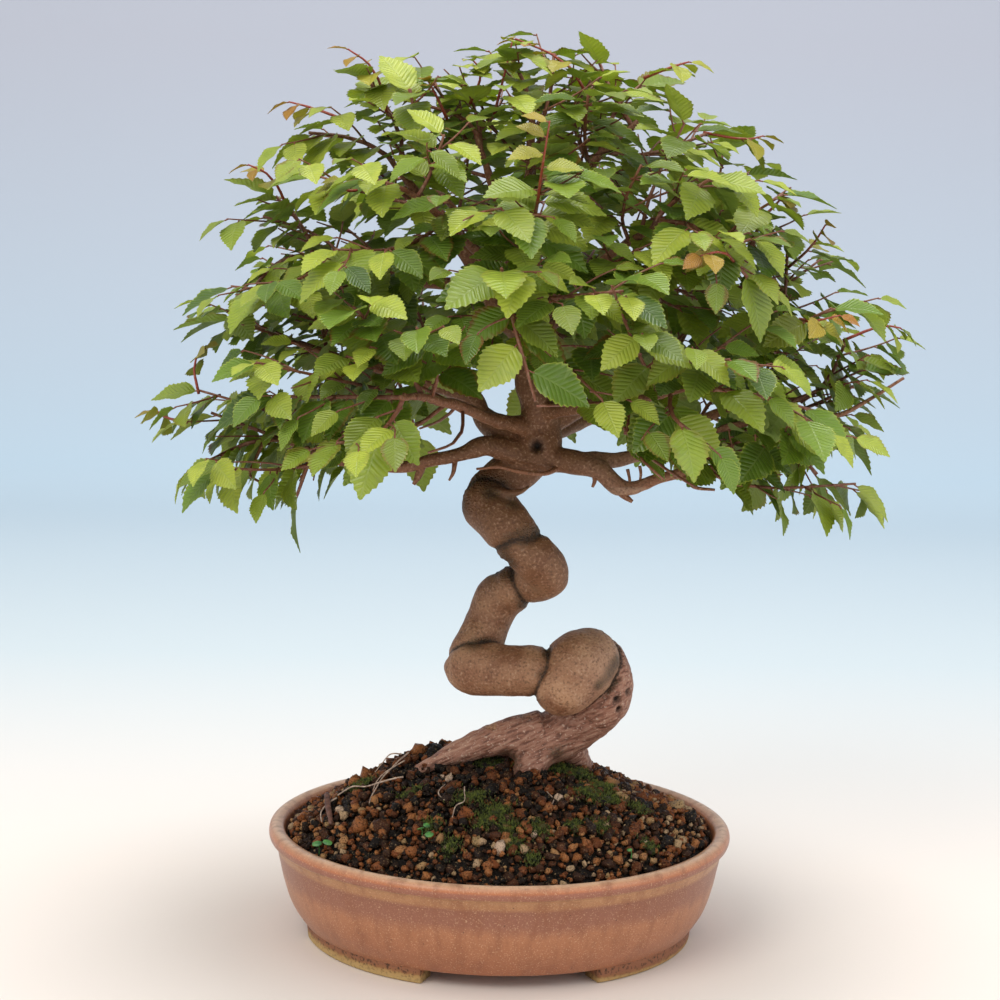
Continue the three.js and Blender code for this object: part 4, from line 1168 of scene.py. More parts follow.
# %% Shape and mark the bark
CREASE_WIDTH = 1.2
CREASE_DEPTH = 1.4
STAIN_REACH = 3.0
LOBE_NEAR = 4
ROUGH_BELOW = 108
YOUNG_ABOVE = 238
KNOT_RIM = 1.2
KNOT_DEPTH = 4.0
KNOTS = [(15, -10, 257, 4.4), (58.5, -17, 128.5, 2.8), (63.5, -13.5, 131.7, 2.4), (60, -15.5, 122.7, 2.3)]
MOSSY_PLACES = [(55, -23, 143, 7), (60, -17, 149, 5.5), (49, -28, 137, 4.5), (-8, -15, 233, 7),
                (4, -18, 229, 6), (4, -8, 92, 9), (30, -10, 96, 8), (-14, -8, 152, 7), (18, -10, 187, 6),
                (-6, -12, 217, 5)]


def gaps_to_lines(points, lines):
    """Distance from each point to the surface of each line of stations, and the mm along the nearest line."""
    gaps, along = [], []
    for line in lines:
        apart = np.linalg.norm(points[:, None, :] - line[None, :, :3], axis=2) - line[None, :, 3]
        nearest = np.argmin(apart, axis=1)
        run = np.r_[0, np.cumsum(np.linalg.norm(np.diff(line[:, :3], axis=0), axis=1))]
        gaps.append(apart[np.arange(len(points)), nearest])
        along.append(run[nearest])
    return np.array(gaps), np.array(along)


def bump_at(points, places):
    """Sum of round bells, one at each (x, y, z, half width) place."""
    centres = np.array(places, float)
    apart = np.linalg.norm(points[:, None, :] - centres[None, :, :3], axis=2)
    return np.exp(-(apart / centres[:, 3]) ** 2).sum(axis=1)


lobe_lines = [stem_line(points, 16, False) for points in TRUNK_LOBES]
gaps, runs = gaps_to_lines(skin, lobe_lines)
nearest_lobe = np.argmin(gaps, axis=0)
first_gap, second_gap = np.sort(gaps, axis=0)[:2]
on_lobe = first_gap < LOBE_NEAR
crease = np.where(on_lobe, np.exp(-((second_gap - first_gap) / CREASE_WIDTH) ** 2), 0)
stain = np.where(on_lobe, np.exp(-(np.maximum(second_gap, 0) / STAIN_REACH) ** 2), 0)
stain = stain * np.clip(0.45 + 0.9 * lattice_noise(skin, 9, 8), 0, 1)
rough = np.where(((nearest_lobe == 0) & on_lobe) | (skin[:, 2] < ROUGH_BELOW), 1.0, 0.0)
along = runs[nearest_lobe, np.arange(len(skin))]
knots = np.clip(bump_at(skin, KNOTS), 0, 1)
moss = np.clip(bump_at(skin, MOSSY_PLACES), 0, 1)
spread = np.linalg.norm((skin - (10, 0, 270)) / (60, 60, 90), axis=1)
young = np.where(skin[:, 2] > YOUNG_ABOVE, np.clip(1.6 * (spread - 0.55), 0, 1), 0)
lumps = 0.9 * lattice_noise(skin, 14, 1) + 0.4 * lattice_noise(skin, 5, 2)
grain = skin @ np.array([[0.84, 0, 0.54], [0, 1, 0], [-0.54, 0, 0.84]]).T * (0.35, 1, 1)
flakes = (0.5 * lattice_noise(grain, 2.6, 3) + 0.3 * np.abs(lattice_noise(grain, 1.7, 4))) * rough
grit = 0.8 * np.abs(lattice_noise(skin, 2.2, 6)) * np.maximum(stain, crease)
push = lumps * np.clip(1 - young, 0.25, 1) + flakes + grit - CREASE_DEPTH * crease
push += KNOT_RIM * 4 * knots * (1 - knots) - KNOT_DEPTH * knots ** 2
skin = skin + skin_normals * push[:, None]

marks = {"crease": crease, "stain": stain, "rough": rough, "moss": moss, "along": along, "young": young,
         "scar": np.clip(1.5 * knots - 0.35, 0, 1)}
limb_ends = [stem_part(line, LIMB_SIDES) for line in thin_lines]
points, faces = join_parts([(skin, skin_faces), *limb_ends])
trunk = make_piece("trunk_bark", points, faces, [old_bark])
thin_points = len(points) - len(skin)
for name, values in marks.items():
    write_attribute(trunk, name, np.r_[values, np.full(thin_points, 1.0 if name == "young" else 0.0)])
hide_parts("trunk")
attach(trunk, "root")
print("bark done; creases on", int((crease > 0.5).sum()), "points;", len(faces), "faces")

# %% [markdown]
# ## The pot
# The pot was thrown round and pressed oval. One profile runs from under the foot ring up the wall,
# round the rolled lip and down inside, and it is carried round the oval. Two drainage holes are then
# cut with a Boolean, because a hole can't be part of a profile.

# %% Sizes of the pot
BASE_HALF = np.array([101.2, 90.9])
POT_OUTSIDE = [(-4, 7), (-0.5, 7.3), (1.6, 8.8), (7.4, 18), (11, 29), (13.4, 40), (14.6, 45.6), (15.9, 48.6),
               (16.6, 50.4), (18.3, 51.4), (18.9, 53.8), (18, 56.6), (15.2, 58), (11.6, 57)]
POT_INSIDE = [(10.2, 54), (8.4, 44), (3.4, 20), (-0.5, 14.2), (-4, 13)]
ROUND_STEPS = 240
WOBBLE, WOBBLE_CELL = 0.35, 45
DRAIN_RADIUS = 8.0
DRAIN_OFFSET = 42.0
FOOT_HEIGHT = 7.0
FOOT_DEPTH = 13.0
FOOT_SPAN = 54.0
# Degrees round the oval
FOOT_MIDDLES = [side + apart + 4 for side in (90, 270) for apart in (-52.8, 52.8)]


# %% Turn the pot
def oval(offset, height, degrees):
    """Points of the oval: half widths of the base plus the offset, times cosine and sine of the angle."""
    angle = np.radians(degrees)
    offset, angle = np.broadcast_arrays(offset, angle)
    return np.stack([(BASE_HALF[0] + offset) * np.cos(angle), (BASE_HALF[1] + offset) * np.sin(angle),
                     np.broadcast_to(height, angle.shape)], axis=-1)


outside = on_curve(POT_OUTSIDE, np.linspace(0, 1, 60))
inside = on_curve(POT_INSIDE, np.linspace(0, 1, 30))
profile = np.vstack([outside, inside])
degrees = np.arange(ROUND_STEPS) * 360 / ROUND_STEPS
shell = oval(profile[:, :1], profile[:, 1:], degrees[None, :])
wobble = WOBBLE * lattice_noise(shell.reshape(-1, 3), WOBBLE_CELL, 5).reshape(shell.shape[:2])
shell = shell + wobble[:, :, None] * unit(shell * (1, 1, 0))
pot = make_piece("pot_glazed", shell.reshape(-1, 3), tube_faces(len(profile), ROUND_STEPS))

drills = []
for x in (-DRAIN_OFFSET, DRAIN_OFFSET):
    line = np.array([(x, 0, 2, DRAIN_RADIUS), (x, 0, 10, DRAIN_RADIUS), (x, 0, 18, DRAIN_RADIUS)])
    drills.append(stem_part(line, 32))
drill = make_piece("drill", *join_parts(drills))
cut = pot.modifiers.new("drain", "BOOLEAN")
cut.object = drill
cut.solver = "EXACT"
pot_mesh = bpy.data.meshes.new_from_object(pot.evaluated_get(bpy.context.evaluated_depsgraph_get()))
pot.modifiers.clear()
pot.data = pot_mesh
bpy.data.objects.remove(drill)
print("pot:", len(pot_mesh.vertices), "points")


# %% Model the feet
def foot(middle):
    """A curved block: an upright section with rounded corners carried round the oval for the foot's span."""
    corner = np.radians(np.arange(0, 91, 30))
    bevel = 1.0
    section = [(-FOOT_DEPTH, FOOT_HEIGHT + 3), (-FOOT_DEPTH, 0.4), (-FOOT_DEPTH + 0.4, 0)]
    section += [(-0.3 - bevel + bevel * math.sin(a), bevel - bevel * math.cos(a)) for a in corner]
    section += [(0.4, FOOT_HEIGHT), (0.9, FOOT_HEIGHT + 3)]
    section = np.array(section)[::-1]
    round_it = middle + FOOT_SPAN * np.linspace(-0.5, 0.5, 40)
    ring = oval(section[None, :, 0], section[None, :, 1], round_it[:, None])
    return ring, tube_faces(len(round_it), len(section))


feet = make_piece("pot_feet", *join_parts([foot(middle) for middle in FOOT_MIDDLES]))
print("feet:", len(feet.data.vertices), "points")

# %% [markdown]
# Stoneware under a matt iron glaze: pinkish tan, breaking mauve where it ran thick under the lip and
# paler over the edge, palest on the lip's top, partly as painted highlight, with sandy specks and a few
# dark pinholes. The feet were wiped clean of glaze, so they show the yellow clay, stained where water stood.

# %% Pot materials
# Height in metres and the colour of the glaze there; the two palest, on top of the lip, are partly painted
# highlight
GLAZE_BANDS = [(0.004, "#a3633f"), (0.016, "#a66b4a"), (0.030, "#ad7350"), (0.036, "#94604a"),
               (0.0442, "#8f5c47"), (0.0462, "#ad7b54"), (0.0506, "#b3845c"), (0.0520, "#95614d"),
               (0.0540, "#985f4a"), (0.0550, "#b56f48"), (0.0568, "#c48c68"), (0.0580, "#dcb696")]
CLAY_BANDS = [(0.0028, "#bb9d66"), (0.0052, "#b08d58"), (0.0064, "#93643f"), (0.0078, "#8f5d41")]
# How far the bands run down, in metres, at the foot of the wall and under the lip
RUNS_LOW, RUNS_HIGH = 0.018, 0.0016


def glaze_material():
    """Matt glaze: bands by height that run down in ragged edges, fine pale specks and dark pinholes."""
    material, tree, places = new_material("matt_iron_glaze")
    height = add_node(tree, "ShaderNodeSeparateXYZ", {0: places}).outputs[2]
    drawn_down = add_node(tree, "ShaderNodeVectorMath", {0: places, 1: (1.0, 1.0, 0.2)},
                          operation="MULTIPLY").outputs[0]
    streak, wide, sand = (
        add_node(tree, "ShaderNodeTexNoise", {
            "Vector": vector, "Scale": 1 / (size * MM), "Detail": detail}).outputs["Fac"]
        for vector, size, detail in ((drawn_down, 6, 5.0), (places, 30, 3.0), (places, 0.75, 3.0)))
    cells = add_node(tree, "ShaderNodeTexVoronoi", {
        "Vector": places, "Scale": 1 / (6 * MM)}).outputs["Distance"]
    reach, pit = (
        add_node(tree, "ShaderNodeMapRange", dict(enumerate(ramp))).outputs[0]
        for ramp in ((height, 30 * MM, 46 * MM, RUNS_LOW, RUNS_HIGH), (cells, 0.03, 0.08, 0.8, 0.0)))
    shifted = weighted_sum(tree, (1.0, streak, wide, reach), (-0.25, reach), (1.0, height))
    colour = layered(tree, colour_by(tree, shifted, GLAZE_BANDS), [
        (streak, 0.45, 0.7, 0.62, "#8a5236"),
        (sand, 0.57, 0.7, 0.5, "#d9b28e"),
        (sand, 0.42, 0.3, 0.35, "#7d5240"),
        (pit, 0.0, 1.0, 1.0, "#47291b"),
    ])
    relief = weighted_sum(tree, (1.0, sand), (-1.5, pit))
    return close_material(material, colour, {"Roughness": 0.36, "IOR": 1.5}, relief, 0.35, 0.3)


def clay_material():
    """Wiped stoneware: yellow tan below, brown where the glaze thins out, with pits and water stains."""
    material, tree, places = new_material("unglazed_stoneware")
    sideways, _, height = add_node(tree, "ShaderNodeSeparateXYZ", {0: places}).outputs
    blotch, stain = (
        add_node(tree, "ShaderNodeTexNoise", {
            "Vector": places, "Scale": 1 / (size * MM), "Detail": detail}).outputs["Fac"]
        for size, detail in ((4, 4.0), (1.6, 5.0)))
    rightward, upward = (
        add_node(tree, "ShaderNodeMapRange", dict(enumerate(ramp))).outputs[0]
        for ramp in ((sideways, -20 * MM, 60 * MM, 0.0, 2.6 * MM), (height, 1.5 * MM, 6 * MM, 0.25, 1.0)))
    wavy = weighted_sum(tree, (1.0, height), (1.0, rightward), (3.0 * MM, blotch))
    colour = layered(tree, colour_by(tree, wavy, CLAY_BANDS), [(stain, 0.52, 0.62, 0.85, "#3b2718", upward)])
    return close_material(material, colour, {"Roughness": 0.75}, stain, 0.5, 0.5, invert=True)


pot.data.materials.clear()
pot.data.materials.append(glaze_material())
feet.data.materials.append(clay_material())
for piece in (pot, feet):
    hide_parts("pot")
    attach(piece, "root")

# %% [markdown]
# ## The soil
# The mound is a height over every place of the oval. Under it lies a plain surface in the soil's
# darkest colour, as painted shade between the grains; what the eye sees are the grains on top: baked
# clay granules of 1 to 7 mm, each a small faceted clod turned its own way.

# %% Sizes of the soil
SOIL_EDGE = 53.0
SOIL_RISE = 32.0
SOIL_HALF = BASE_HALF + 10.2
KNOLLS = [(-36, 20, 8, 24), (40, 18, 5, 12), (-84, -6, 3, 14), (78, 22, -9, 24), (-76, 52, -6, 26),
          (-96, 14, -12, 16), (96, -14, 8, 11)]
# Spacing, smallest and largest radius, and how far the middle lies above the mound: large grains, then crumbs
GRAIN_LAYERS = [(4.3, 1.4, 3.6, 0.2), (3.7, 0.7, 1.9, -0.6)]
BIG_CLODS = [(-34, 8, 5), (-43, 12, 4.6), (-50, 4, 4.6), (-70, 8, 4.6), (-76, 1, 4.4), (58, 8, 4),
             (66, 4, 4.6), (82, 2, 4.6), (92, -8, 5), (98, -16, 4.6), (0, -82, 4), (45, -62, 4.2),
             (-58, -60, 5), (-70, -52, 4.8)]
CLOD_SQUASH = (1, 0.86, 0.76)
CLOD_UNEVENNESS = 0.2
SMALL_GRAINS = 1.8
LIFT_BY_CHANCE = 0.5
DARKENING = 0.45
PALE_SPOTS = [(-80, -30, 5), (0, -82, 3), (18, -72, 4), (-25, -80, 3), (72, -56, 3), (-27, -22, 4),
              (30, -40, 3)]
# Places of painted shadow under the trunk, together with darker soil: grains there lose up to DARKENING of
# their tone.
SHADOW_AND_DARK_SOIL_PLACES = [(-34, -8, 26), (-8, 0, 24), (-22, -40, 22), (22, -22, 16)]
MOSS_PATCHES = [
    (-2, 14, 9), (6, 10, 7), (-8, 4, 8), (45, -30, 8), (52, -12, 8), (41, -3, 7), (-2, -58, 8), (-8, -66, 6),
    (4, -70, 6), (-15, -45, 8), (50, -58, 5), (37, -64, 4), (56, -26, 7), (71, -30, 5), (20, -68, 5),
    (8, -79, 5), (-34, -66, 5), (-72, -8, 6), (-24, -79, 5), (74, -58, 4), (16, -87, 4), (30, 2, 6),
    (-46, -34, 5)]


def soil_height(x, y):
    """Height of the mound: a dome that falls with the cube of the way to the rim, plus knolls and lumps."""
    share = np.minimum(np.hypot(x / SOIL_HALF[0], y / SOIL_HALF[1]), 1)
    lumps = 1.1 * np.sin(0.17 * x + 0.9) * np.cos(0.19 * y) + 0.8 * np.sin(0.31 * x - 0.23 * y)
    raised = sum(high * np.exp(-((x - kx) ** 2 + (y - ky) ** 2) / (2 * wide ** 2))
                 for kx, ky, high, wide in KNOLLS)
    return SOIL_EDGE + SOIL_RISE * (1 - share ** 3) + (raised + lumps) * (1 - share ** 4)


def nearness(spots, places):
    """How near each spot is to the places (x, y, reach): the highest bell exp(-(distance / reach)^2)."""
    places = np.array(places, float)
    apart = np.linalg.norm(np.asarray(spots)[:, None, :2] - places[None, :, :2], axis=2)
    return np.exp(-(apart / places[:, 2]) ** 2).max(axis=1)


# %% Lay the mound
share = np.linspace(0.01, 0.985, 60)[::-1]
degrees = np.arange(180) * 2.0
top = share[:, None, None] * oval(9.6, 0, degrees)[None]
top[:, :, 2] = soil_height(top[:, :, 0], top[:, :, 1]) - 2.2
side_offsets, side_heights = np.array([[-4.8, 3.0, 8.0, 9.4], [14.8, 20, 44, 50.6]])[:, :, None]
sides = oval(side_offsets, side_heights, degrees[None, :])
mound_rows = np.concatenate([sides, top])
mound = make_piece("soil_bed", mound_rows.reshape(-1, 3), tube_faces(len(mound_rows), len(degrees)))
print("mound:", len(mound.data.vertices), "points")


# %% Scatter the grains
def clod_pattern():
    """A rough ball: rings of 6 points at heights of -0.62, 0 and 0.62 and a point at each end."""
    height = np.array([-0.62, 0.0, 0.62])
    turn = np.radians(np.arange(6) * 60)[None, :] + np.array([0, 0.5, 0])[:, None]
    flat = np.sqrt(1 - height ** 2)[:, None]
    rings = np.stack([flat * np.cos(turn), flat * np.sin(turn), height[:, None] + 0 * turn], axis=-1)
    points = np.vstack([rings.reshape(-1, 3), [(0, 0, -1), (0, 0, 1)]])
    faces = [tuple(face) for face in grid_faces(3, 6).tolist()]
    faces += [((k + 1) % 6, k, 18) for k in range(6)]
    faces += [(12 + k, 12 + (k + 1) % 6, 19) for k in range(6)]
    return points, faces


def turns(rng, count):
    """Random rotations: three perpendicular directions from random vectors."""
    first = unit(rng.normal(size=(count, 3)))
    second = unit(np.cross(first, rng.normal(size=(count, 3))))
    return np.stack([first, second, np.cross(first, second)], axis=1)


def scattered(rng, spacing):
    """Places on the mound on a staggered grid, each moved by a third of the spacing at most."""
    rows = np.arange(-SOIL_HALF[1], SOIL_HALF[1], spacing * 0.866)
    columns = np.arange(-SOIL_HALF[0], SOIL_HALF[0], spacing)
    x, y = np.meshgrid(columns, rows)
    x = x + (np.arange(len(rows)) % 2)[:, None] * spacing / 2
    spots = np.column_stack([x.ravel(), y.ravel()]) + rng.uniform(-spacing / 3, spacing / 3, (x.size, 2))
    return spots[np.hypot(*(spots / (SOIL_HALF - 2.0)).T) < 1]


CLOD, CLOD_FACES = clod_pattern()
rng = np.random.default_rng(11)
layers = []
for spacing, smallest, largest, above in GRAIN_LAYERS:
    spots = scattered(rng, spacing)
    size = smallest + (largest - smallest) * rng.random(len(spots)) ** SMALL_GRAINS
    height = soil_height(*spots.T) + above + LIFT_BY_CHANCE * rng.normal(size=len(spots))
    layers.append(np.column_stack([spots, height, size]))
big = np.array(BIG_CLODS, float)
layers.append(np.column_stack([big[:, :2], soil_height(*big[:, :2].T) + 0.3 * big[:, 2], big[:, 2]]))
spots = np.vstack(layers)
clods = CLOD[None] * (1 + CLOD_UNEVENNESS * rng.normal(size=(len(spots), len(CLOD), 1))) * CLOD_SQUASH
clods = np.einsum("nij,njk->nik", clods, turns(rng, len(spots))) * spots[:, None, 3:] + spots[:, None, :3]
grains = make_piece("soil_grains", *join_parts([(clod, CLOD_FACES) for clod in clods]))
tone = rng.random(len(spots)) + 0.15 * lattice_noise(spots[:, :3], 18, 9)
# Painted shadow with darker soil: grains near these places are darkened.
tone = np.clip(tone - DARKENING * nearness(spots, SHADOW_AND_DARK_SOIL_PLACES), 0, 0.95)
tone = np.maximum(tone, np.where(nearness(spots, PALE_SPOTS) > 0.5 + 0.4 * rng.random(len(spots)), 1.0, 0))
write_attribute(grains, "tone", np.repeat(tone, len(CLOD)))
for piece, places in ((grains, np.repeat(spots, len(CLOD), axis=0)), (mound, mound_rows.reshape(-1, 3))):
    write_attribute(piece, "moss", nearness(places, MOSS_PATCHES))
print(len(spots), "grains")

# %% [markdown]
# On the shaded side the granules carry moss, thousands of upright leaflets a millimetre or two high.
# Fine roots have been washed free on the left, and a few seedlings have come up between the grains.

# %% Grow the moss
MOSS_COUNT = 8000
MOSS_SPREAD = 0.55
LEAFLET_RADIUS = 0.42
LEAFLET_SHORTEST, LEAFLET_MORE = 1.1, 1.6


def moss_spikes(rng, count):
    """Points of narrow pyramids that stand on the mound in the patches: three at the foot and the tip."""
    patches = np.array(MOSS_PATCHES, float)
    weight = patches[:, 2] ** 2
    chosen = patches[rng.choice(len(patches), count, p=weight / weight.sum())]
    spots = chosen[:, :2] + MOSS_SPREAD * chosen[:, 2:] * rng.normal(size=(count, 2))
    spots = spots[np.hypot(*(spots / (SOIL_HALF - 4)).T) < 1]
    foot = np.column_stack([spots, soil_height(*spots.T) + 0.9 + 0.7 * rng.random(len(spots))])
    lean = unit(rng.normal(size=foot.shape) * (0.55, 0.55, 0) + UP)
    turn = rng.random(len(spots))[:, None] * 2 * np.pi + np.radians([0, 120, 240])
    ring = np.stack([np.cos(turn), np.sin(turn), 0 * turn], axis=-1) * LEAFLET_RADIUS
    tips = foot + lean * (LEAFLET_SHORTEST + LEAFLET_MORE * rng.random((len(spots), 1)))
    return np.concatenate([foot[:, None, :] + ring, tips[:, None, :]], axis=1)


SPIKE_FACES = [(2, 1, 0), (0, 1, 3), (1, 2, 3), (2, 0, 3)]
spikes = moss_spikes(rng, MOSS_COUNT)
moss_piece = make_piece("moss_tufts", *join_parts([(spike, SPIKE_FACES) for spike in spikes]))
write_attribute(moss_piece, "tip", np.tile([0, 0, 0, 1.0], len(spikes)))
print(len(spikes), "moss leaflets")

# %% Lay the fine roots and the seedlings
# x, y, z and radius in mm
FINE_ROOTS = [
    [(-84, -15, 74.5, 0.4), (-76.6, -14, 79, 0.4), (-69.4, -18.5, 80.4, 0.45), (-61.7, -19, 82.6, 0.5),
     (-50, -20, 86, 0.5)],
    [(-48, 6, 92, 0.5), (-56, -7, 87.5, 0.45), (-61, -15.5, 84, 0.4), (-64, -26.5, 80.4, 0.35),
     (-66, -38.5, 77, 0.25)],
    [(-50, -2, 90, 0.4), (-59.6, -11, 86.5, 0.35), (-63.5, -16.5, 83, 0.3), (-65, -24, 80, 0.2)],
    [(-52, 2, 92, 0.4), (-58, -1, 92.5, 0.35), (-62, -3, 88, 0.3), (-65, -5, 84, 0.2)],
    [(-84, -18, 73.5, 0.5), (-88, -22, 71.6, 0.45), (-91, -27, 68.5, 0.4), (-90, -35, 66, 0.3)],
    [(-18.3, -36, 86, 0.35), (-17.5, -51, 83.6, 0.3), (-21.9, -55, 81.6, 0.3), (-23.6, -65, 78.6, 0.2)],
    [(-28, -30, 85.6, 0.3), (-31, -40, 84, 0.3), (-28, -48, 82.6, 0.2)],
    [(24, -34, 84, 0.3), (27, -44, 82.8, 0.3), (24, -52, 80.6, 0.2)],
]
ROOT_STUB = [(-90, -10, 72, 1.1), (-89, -17, 74.6, 1.5), (-87.6, -26, 71.6, 1.5), (-85.6, -38, 66.5, 1.2)]
# Middle of each leaf, its half length and half width
SEEDLINGS = [(-91, -54, 60.6, 2.8, 1.9), (-85.6, -56, 62, 2.8, 1.8), (-39, -70, 74.4, 2.6, 2.0),
             (-34.4, -74, 72.8, 2.5, 1.9), (-36, -67, 75.2, 2.0, 1.6), (64, -70, 65.6, 1.5, 1.1)]
root_parts = [stem_part(knobbly(stem_line(points, 24, False), 100 + k), 5)
              for k, points in enumerate(FINE_ROOTS)]
root_faces = sum(len(faces) for _, faces in root_parts)
root_parts.append(stem_part(knobbly(stem_line(ROOT_STUB, 24, True), 110), 10))
points, faces = join_parts(root_parts)
fine_roots = make_piece("fine_roots", points, faces)

leaf_parts, stalk_parts = [], []
for number, (x, y, z, long, wide) in enumerate(SEEDLINGS):
    aside = unit(np.array([math.cos(2.4 * number), 0.3 * math.sin(2.4 * number), 0.15]))
    face = unit(np.array([0.1, -0.62, 0.8]) - aside * aside.dot((0.1, -0.62, 0.8)))
    axes = np.stack([long * aside, wide * np.cross(face, aside), 0.4 * face])
    leaf_parts.append((CLOD @ axes + (x, y, z), CLOD_FACES))
    foot = (x + 1, y + 1, float(soil_height(x, y)) - 1, 0.3)
    stalk = [foot, (x + 1, y + 1, z - 1.5, 0.3), (x, y, z, 0.25)]
    stalk_parts.append(stem_part(stem_line(stalk, 6, False), 5))
seedlings = make_piece("seedlings", *join_parts(leaf_parts + stalk_parts))
print(len(FINE_ROOTS), "roots,", len(SEEDLINGS), "seedling leaves")


# %% Soil materials
def soil_material():
    """Damp baked clay: each grain has its tone, from black over rust to ochre, with pale crumbs and moss; the
    bed has no tone and shows the black, as painted shade between the grains.
    """
    material, tree, places = new_material("damp_clay_granules")
    tone, moss = (add_node(tree, "ShaderNodeAttribute", attribute_name=key).outputs["Fac"]
                  for key in ("tone", "moss"))
    crumbs, patches = (
        add_node(tree, "ShaderNodeTexNoise", {
            "Vector": places, "Scale": 1 / (size * MM), "Detail": detail}).outputs["Fac"]
        for size, detail in ((0.9, 4.0), (3, 3.0)))
    colour = colour_by(tree, tone, [(0.05, "#100804"), (0.32, "#3a1e0c"), (0.6, "#7b421e"), (0.84, "#a3683a"),
                                    (0.93, "#a3845a"), (0.99, "#c6a88f")])
    furred = weighted_sum(tree, (1.0, moss), (1.0, patches))
    colour = layered(tree, colour, [
        (crumbs, 0.6, 0.7, 0.7, "#a08560"),
        (crumbs, 0.46, 0.36, 0.8, "#140b06"),
        (furred, 1.05, 1.45, 0.8, "#333b0f"),
    ])
    wet = add_node(tree, "ShaderNodeMapRange", {0: patches, 1: 0.4, 2: 0.62, 3: 0.8, 4: 0.4}).outputs[0]
    return close_material(material, colour, {"Roughness": wet, "Specular IOR Level": 0.25}, crumbs)


def plain_growth(name, low, high, key, roughness):
    """A living surface of two colours, blended by a fine noise and, if a key is given, by that attribute."""
    material, tree, places = new_material(name)
    noise = add_node(tree, "ShaderNodeTexNoise", {
        "Vector": places, "Scale": 1 / (2.5 * MM), "Detail": 3.0}).outputs["Fac"]
    limits = [add_node(tree, "ShaderNodeAttribute", attribute_name=key).outputs["Fac"]] if key else []
    colour = layered(tree, low, [(noise, 0.35, 0.65, 1.0, high, *limits)])
    return close_material(material, colour, {"Roughness": roughness})


damp_clay = soil_material()
# The bed has no tone attribute, so it shows the darkest soil colour: painted shade between the grains.
for piece in (mound, grains):
    piece.data.materials.append(damp_clay)
moss_piece.data.materials.append(plain_growth("cushion_moss", "#222b08", "#7f8b28", "tip", 0.7))
seedlings.data.materials.append(plain_growth("seedling_leaf", "#34683a", "#5f9a48", None, 0.4))
fine_roots.data.materials.append(plain_growth("dry_root_skin", "#8d7262", "#cdb5a0", None, 0.6))
fine_roots.data.materials.append(plain_growth("dead_wood", "#4a2c22", "#7a5242", None, 0.6))
stub_faces = np.arange(len(fine_roots.data.polygons)) >= root_faces
fine_roots.data.polygons.foreach_set("material_index", stub_faces.astype(np.int32))
for piece in (mound, grains, moss_piece, fine_roots, seedlings):
    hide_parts("soil")
    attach(piece, "root")

# %% [markdown]
# ## Drainage mesh
# A square of plastic net lies over each hole, so that the soil stays in. Nobody sees it with the soil
# in place, so the frame's own plate keeps its shape and only gets a colour and a fine weave.

# %% Dress the drainage mesh
def net_material():
    """Black polyethylene net with openings about 2 mm apart."""
    material, tree, places = new_material("polyethylene_net")
    holes = add_node(tree, "ShaderNodeTexVoronoi", {
        "Vector": places, "Scale": 1 / (2 * MM)}).outputs["Distance"]
    colour = layered(tree, "#1d1f1d", [(holes, 0.0, 1.0, 1.0, "#3a3d3a")])
    return close_material(material, colour, {"Roughness": 0.6}, holes, 0.6, 0.4)


net = net_material()
for side in ("left", "right"):
    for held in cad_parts[f"drain_mesh_{side}"].material_slots:
        held.material = net

# %% [markdown]
# ## Camera, floor and light
# The camera stands a little over a metre in front of the tree and looks slightly down. Its numbers
# were worked out from the oval of the pot's rim. A pale sweep carries the tree. A large soft
# light on the left, a weaker one on the right and one above, under a pale sky, give the even light
# of a window.

# %% Place the camera
CAMERA_OFFSET = np.array([-3.0, -1100.0, 394.6])
CAMERA_PITCH = 0.1506
CAMERA_ROLL = -0.0194
CAMERA_LENS = 78.2

pitch = CAMERA_PITCH
forward = Vector((0, math.cos(pitch), -math.sin(pitch)))
upward = Vector((0, math.sin(pitch), math.cos(pitch)))
right = Vector((1, 0, 0))
c, s = math.cos(CAMERA_ROLL), math.sin(CAMERA_ROLL)
turned = Matrix([c * right - s * upward, s * right + c * upward, -forward]).transposed().to_4x4()
lens = bpy.data.cameras.new("camera")
lens.lens = CAMERA_LENS
lens.sensor_width = 36.0
lens.clip_start = 0.05
camera = bpy.data.objects.new("camera", lens)
camera.matrix_world = Matrix.Translation((CAMERA_OFFSET + POT_MIDDLE) * MM) @ turned
bpy.context.scene.collection.objects.link(camera)
bpy.context.scene.camera = camera

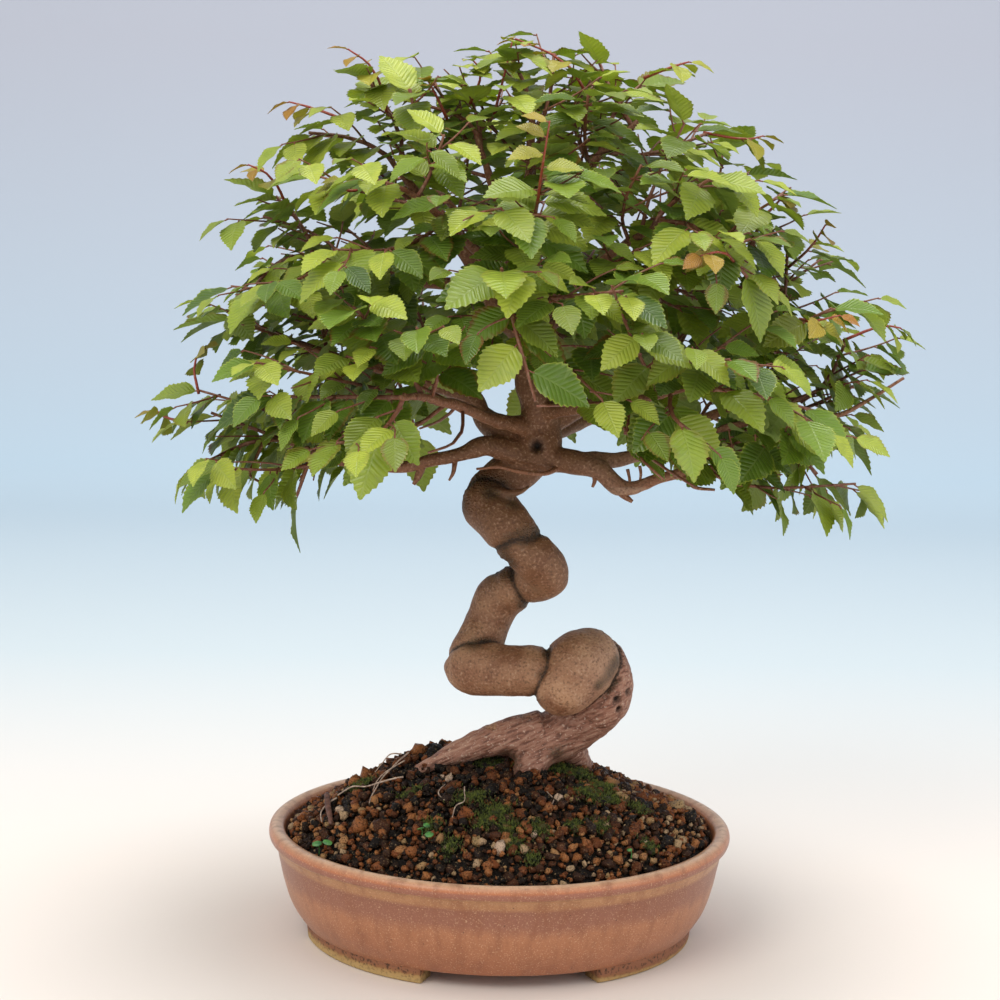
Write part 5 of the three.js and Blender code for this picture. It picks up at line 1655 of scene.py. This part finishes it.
# %% Lay the floor and hang the lights
SWEEP_WIDTH = 6000.0
SWEEP_LINE = [(-2500, -0.3), (0, -0.3), (1100, -0.3), (1500, 60), (1800, 400), (1900, 1200), (1950, 2600)]
# Name, place and size in metres, power in watts, colour
LIGHTS = [
    ("window", (-1.2, -1.6, 2.0), 1.4, 25.0, "#fffaf2"),
    ("fill", (1.8, -1.2, 1.0), 1.8, 10.0, "#f2f6ff"),
    ("above", (0.2, 0.1, 2.2), 1.2, 26.0, "#ffffff"),
]
SKY_COLOUR = "#f4f7fa"
SKY_STRENGTH = 0.8
# Distance back plus height in metres, and the paper's colour there
SWEEP_COLOURS = [(0.1, "#ece2d9"), (0.65, "#cfd9dc"), (1.5, "#bacdda"), (2.4, "#babcc6")]

sweep_line = on_curve(SWEEP_LINE, np.linspace(0, 1, 60))
sweep_points = np.array([[(x, y, z) for x in (-SWEEP_WIDTH / 2, SWEEP_WIDTH / 2)] for y, z in sweep_line])
floor = make_piece("floor", sweep_points.reshape(-1, 3), [tuple(f) for f in grid_faces(60, 2, closed=False)])
paper, tree, places = new_material("paper_backdrop")
_, back, height = add_node(tree, "ShaderNodeSeparateXYZ", {0: places}).outputs
tint = colour_by(tree, weighted_sum(tree, (1.0, back), (1.0, height)), SWEEP_COLOURS)
floor.data.materials.append(close_material(paper, tint, {"Roughness": 0.9, "Specular IOR Level": 0.1}))

bpy.context.scene.view_settings.view_transform = "Standard"
world = bpy.data.worlds.new("sky")
bpy.context.scene.world = world
world.use_nodes = True
world.node_tree.nodes["Background"].inputs["Color"].default_value = linear(SKY_COLOUR)
world.node_tree.nodes["Background"].inputs["Strength"].default_value = SKY_STRENGTH


def hang_light(name, place, size, power, colour):
    """A square area light that looks at the middle of the crown."""
    lamp = bpy.data.lights.new(name, "AREA")
    lamp.size = size
    lamp.energy = power
    lamp.color = linear(colour)[:3]
    held = bpy.data.objects.new(name, lamp)
    held.location = place
    held.rotation_mode = "QUATERNION"
    held.rotation_quaternion = (Vector((0, 0, 0.25)) - Vector(place)).to_track_quat("-Z", "Y")
    bpy.context.scene.collection.objects.link(held)


for light in LIGHTS:
    hang_light(*light)
